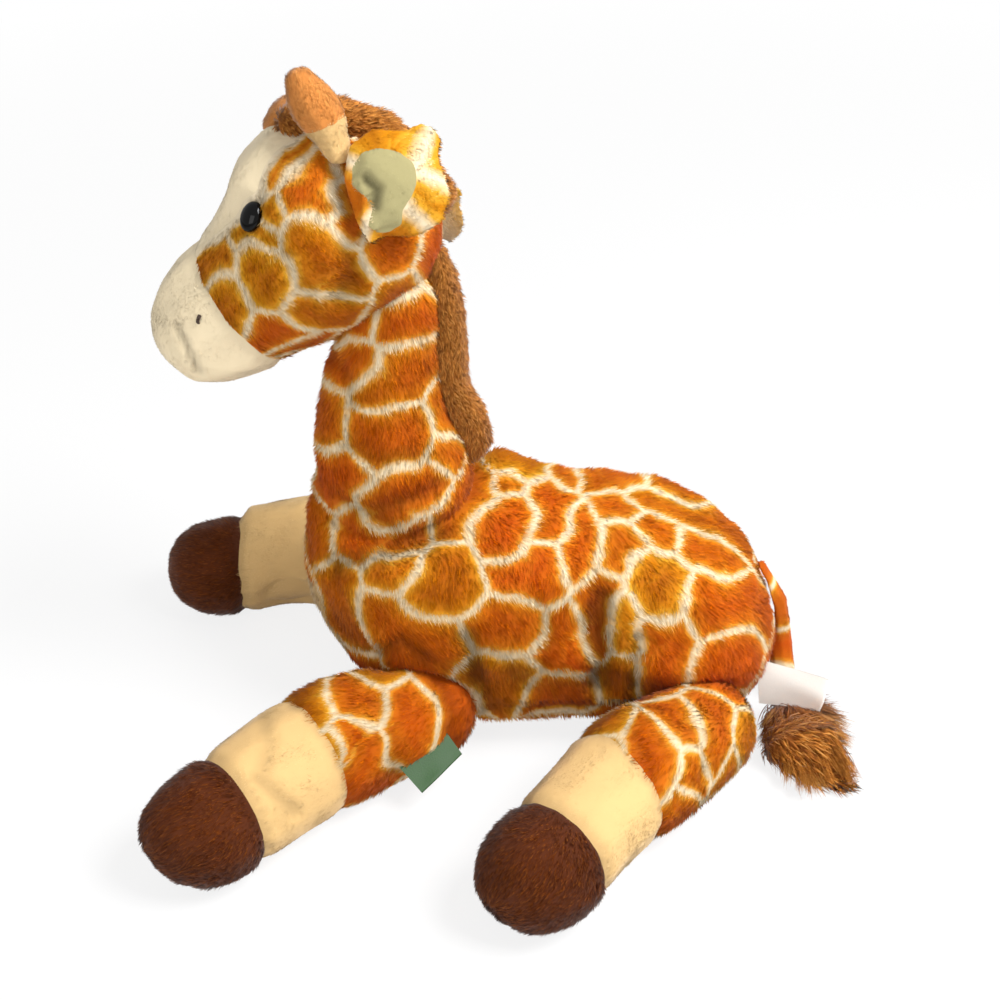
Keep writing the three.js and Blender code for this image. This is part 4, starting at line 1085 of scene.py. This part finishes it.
def hair_locks(name, root, tips, locks, hairs, width, material, seed):
    """Long hair from one root in locks that fan out to the tips, which stand in order across the fan."""
    dice = np.random.default_rng(seed)
    steps = 6
    shares = np.linspace(0, 1, steps + 1)
    fan = np.linspace(0, 1, len(tips))
    turns = dice.uniform(0, 1, locks)
    reach = dice.uniform(*LOCK_REACH, locks)
    ends = np.stack([np.interp(turns, fan, tips[:, i]) for i in range(3)], 1)
    ends = root + (ends - root) * reach[:, None]
    ends[:, 2] = np.maximum(root[2] * 0.25, ends[:, 2]) + dice.uniform(-6, 13, locks) * MM * (1.2 - reach)
    which = np.repeat(np.arange(locks), hairs)
    count = locks * hairs
    start = root + dice.normal(0, 1, (count, 3)) * ROOT_SPREAD * MM
    end = ends[which] + dice.normal(0, 1, (count, 3)) * LOCK_SPREAD * MM
    length = np.linalg.norm(end - start, axis=1)
    middle = (start + end) / 2 + dice.normal(0, 1, (locks, 3))[which] * length[:, None] * LOCK_STRAY
    middle += dice.normal(0, 1, (count, 3)) * HAIR_STRAY * MM
    middle[:, 2] += length * HAIR_ARCH
    t = shares[None, :, None]
    path = (1 - t) ** 2 * start[:, None] + 2 * t * (1 - t) * middle[:, None] + t**2 * end[:, None]
    path[:, :, 2] = np.maximum(path[:, :, 2], FLOOR_LIFT * MM * 2)
    side = unit(np.cross(unit(end - start), dice.normal(size=(count, 3))))
    taper = np.interp(shares, [0, 0.15, 0.7, 1], [0.6, 1.0, 0.8, 0.1])
    half = side[:, None] * (width * MM / 2 * taper)[None, :, None]
    co = np.stack([path + half, path - half], 2).reshape(-1, 3)
    piece = mesh_object(name, co, grid_faces((count, steps + 1, 2)))
    heart = (root + ends.mean(0)) / 2
    soft = unit(path.reshape(-1, 3) - heart + np.array([0.0, 0.0, 12 * MM]))
    piece.data.normals_split_custom_set_from_vertices(np.repeat(soft, 2, axis=0))
    tint = np.clip(dice.random(locks)[which] * 0.7 + dice.random(count) * 0.3, 0, 1)
    along = np.tile(np.repeat(shares, 2), count)
    return paint(piece, material, along=along, strand=np.repeat(tint, (steps + 1) * 2))


tuft = node_points("tail_tuft")
root = tuft[tuft[:, 1] > tuft[:, 1].max() - 6 * MM].mean(0)
tips = np.array([on_plane(x, y, 2, TUFT_HEIGHT) for x, y in TUFT_TIPS])
tail_hair = hair_locks("tail_hair", root, tips, locks=110, hairs=42, width=0.6, material=tuft_plush, seed=5)
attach(tail_hair, "tail")


def turned_dome(name, centre, outward, radius, height, material):
    """The polished dome of a toy's eye: a flattened half ball with a rolled rim."""
    turns, rows = 40, 14
    first = unit(np.cross(outward, (0.0, 0.0, 1.0)))
    second = np.cross(outward, first)
    profile = [(radius * 0.9, -height * 0.5), (radius, -height * 0.25)]
    arc = np.linspace(0, math.pi / 2, rows, endpoint=False)
    profile += [(radius * math.cos(a), height * math.sin(a)) for a in arc]
    angle = np.arange(turns) * 2 * math.pi / turns
    round_off = np.cos(angle)[:, None] * first + np.sin(angle)[:, None] * second
    round_off = round_off - first * (round_off @ first)[:, None] * (1 - EYE_NARROWING)
    rings = [centre + round_off * r + outward * h for r, h in profile]
    co = np.concatenate([*rings, [centre + outward * height]])
    top, last = len(co) - 1, (len(profile) - 1) * turns
    cap = [[last + k, last + (k + 1) % turns, top] for k in range(turns)]
    mesh = bpy.data.meshes.new(name)
    mesh.from_pydata(co.tolist(), [], grid_faces((len(profile), turns), closed=True).tolist() + cap)
    mesh.polygons.foreach_set("use_smooth", [True] * len(mesh.polygons))
    return paint(new_object(name, mesh), material)


def thread_tube(name, lines, radius, material, sides=8):
    """Stitches: thin round threads along lines of points, as one mesh."""
    path = np.stack(lines)
    way = unit(np.gradient(path, axis=1))
    across = unit(np.cross(way, (0.31, 0.2, 0.93)))[:, :, None]
    over = np.cross(way[:, :, None], across)
    angle = (np.arange(sides) * 2 * math.pi / sides)[:, None]
    co = path[:, :, None] + (across * np.cos(angle) + over * np.sin(angle)) * radius
    return paint(mesh_object(name, co.reshape(-1, 3), grid_faces(co.shape[:3], closed=True)), material)


for side in ["left", "right"]:
    eye, hub = node_points("eye_" + side), node_points("eye_washer_" + side).mean(0)
    axis = unit(eye.mean(0) - hub)
    along = (eye - hub) @ axis
    radius = np.linalg.norm(eye - hub - along[:, None] * axis, axis=1).max()
    rim = hub + axis * (along.max() - EYE_SINK * MM - EYE_DOME * MM)
    dome = turned_dome(f"eye_{side}_dome", rim, axis, radius, EYE_DOME * MM, eye_plastic)
    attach(dome, "head")
    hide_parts("eye_" + side)

    patch = node_points("nostril_" + side)
    middle = patch.mean(0)
    _, _, axes = np.linalg.svd(patch - middle, full_matrices=False)
    middle, outward = (np.array(v) for v in head.surface().find_nearest(Vector(middle))[:2])
    reach = np.abs((patch - middle) @ axes[0]).max() * NOSTRIL_SHARE
    t = np.linspace(-1, 1, 9)[:, None]
    lines = [
        middle
        + axes[0] * reach * t * (1 - 0.15 * abs(offset))
        + axes[1] * offset * MM
        + outward * (STITCH_RISE - STITCH_DIP * t * t) * MM
        for offset in (-0.6, 0.0, 0.6)
    ]
    stitches = thread_tube(f"nostril_{side}_stitches", lines, STITCH_RADIUS * MM, stitch_thread)
    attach(stitches, "head")
    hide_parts("nostril_" + side)
    washer = frame["nodes"]["eye_washer_" + side].data
    washer.materials.clear()
    washer.materials.append(washer_plastic)


def folded_label(name, near, far, curl, bow, lift, material):
    """A strip of cloth folded in half, with both ends in the seam; its size follows from its corners.

    near and far are the upper and the lower corner of its front layer, at the seam and at the fold. curl
    turns the folded end towards lift, and bow bends the middle of the width along it."""
    steps, rows = 28, 10
    grid = []
    for i in range(2 * steps + 1):
        t = 1 - abs(i / steps - 1)
        layer = np.sin(math.pi / 2 * np.clip((i / steps - 1) * steps / 3, -1, 1))
        for j in range(rows + 1):
            w = j / rows
            place = (near[0] * (1 - w) + near[1] * w) * (1 - t) + (far[0] * (1 - w) + far[1] * w) * t
            wave = (0.35 * math.sin(5 * t + 3 * w) + 0.25 * math.sin(9 * w - 4 * t)) * t * MM
            apart = layer * LABEL_GAP * MM / 2 * (0.4 + 0.6 * t)
            out = curl * MM * t**3 + bow * MM * math.sin(math.pi * w) * t + wave - apart
            grid.append(place + np.array(lift) * out)
    faces = grid_faces((2 * steps + 1, rows + 1))[:, [0, 3, 2, 1]]
    piece = paint(mesh_object(name, np.array(grid), faces), material)
    return piece


care_seam = [on_plane(x, y, 1, CARE_SEAM_PLACE) for x, y in CARE_SEAM]
care_fold = [on_plane(x, y, 1, CARE_FOLD_PLACE) for x, y in CARE_FOLD]
care = folded_label(
    "care_label_cloth", care_seam, care_fold, curl=2.5, bow=1.2, lift=(0.0, -1.0, 0.15),
    material=label_cloth,
)
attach(care, "torso")
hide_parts("care_label")
ribbon_seam = [leg_forms["foreleg_left"].at_pixel(x, y) for x, y in RIBBON_SEAM]
ribbon_fold = [beside(place, x, y) for place, (x, y) in zip(ribbon_seam, RIBBON_FOLD)]
ribbon = folded_label(
    "ribbon_tag_cloth", ribbon_seam, ribbon_fold, curl=0.6, bow=0.5, lift=(0.2, -0.75, 0.6),
    material=ribbon_cloth,
)
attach(ribbon, "foreleg_left")
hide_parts("ribbon_tag")


def aim_at(thing, place, target):
    """Puts a camera or a lamp at a place and turns it to its target."""
    thing.location = place
    thing.rotation_mode = "QUATERNION"
    thing.rotation_quaternion = (Vector(target) - thing.location).to_track_quat("-Z", "Y")


# Camera.
camera = new_object("camera", bpy.data.cameras.new("camera"))
aim_at(camera, Vector(CAMERA_PLACE) * MM, Vector(CAMERA_TARGET) * MM)
camera.data.sensor_width = SENSOR_WIDTH
camera.data.lens = SENSOR_WIDTH * FOCAL_PIXELS / PICTURE_SIDE
camera.data.clip_start = 0.01
bpy.context.scene.camera = camera

# Floor, backdrop and lights. The paper glows for the camera, so that it shows white as in the photograph.
corners = np.array([(-1.0, -1.0, 0.0), (1.0, -1.0, 0.0), (1.0, 1.0, 0.0), (-1.0, 1.0, 0.0)]) * 30
floor = mesh_object("floor", corners, np.array([[0, 1, 2, 3]]))
WHITE = (1.0, 1.0, 1.0, 1.0)
floor_paint, tree, paper = new_material("white studio paper")
set_inputs(paper, {"Base Color": (0.8, 0.8, 0.8, 1.0), "Roughness": 0.9})
glow = add_node(tree, "Emission", 0, {"Color": WHITE, "Strength": 1.0})
seen = add_node(tree, "LightPath", "Is Camera Ray")
spot = add_node(tree, "TexCoord", "Object")
away = add_node(tree, "VectorMath", "Value", {0: spot}, operation="LENGTH")
fading = {"Value": away, "From Min": 0.4, "From Max": 1.6, "To Min": 0.82, "To Max": 1.0}
share = add_node(tree, "MapRange", "Result", fading)
share = add_node(tree, "Math", 0, {0: seen, 1: share}, operation="MULTIPLY")
mix = add_node(tree, "MixShader", 0, {0: share, 1: paper.outputs[0], 2: glow})
set_inputs(tree.nodes["Material Output"], {"Surface": mix})
floor.data.materials.append(floor_paint)

world = bpy.data.worlds.new("studio")
bpy.context.scene.world = world
world.use_nodes = True
tree = world.node_tree
direct = add_node(tree, "LightPath", "Is Camera Ray")
kinds = direct.node.outputs
for ray in ("Is Transmission Ray", "Is Glossy Ray"):
    direct = add_node(tree, "Math", 0, {0: direct, 1: kinds[ray]}, operation="MAXIMUM")
studio, white = (
    add_node(tree, "Background", 0, {"Color": WHITE, "Strength": power}) for power in (0.46, 1.0)
)
mix = add_node(tree, "MixShader", 0, {0: direct, 1: studio, 2: white})
set_inputs(tree.nodes["World Output"], {"Surface": mix})

LAMPS = [("key lamp", (0.85, -0.4, 1.4), 0.7, 38), ("fill lamp", (-0.6, -1.4, 1.0), 1.0, 10)]
for name, place, side, power in LAMPS:
    lamp = new_object(name, bpy.data.lights.new(name, "AREA"))
    lamp.data.size = side
    lamp.data.energy = power
    aim_at(lamp, place, (0.0, 0.0, 0.1))

bpy.context.scene.view_settings.view_transform = "Standard"
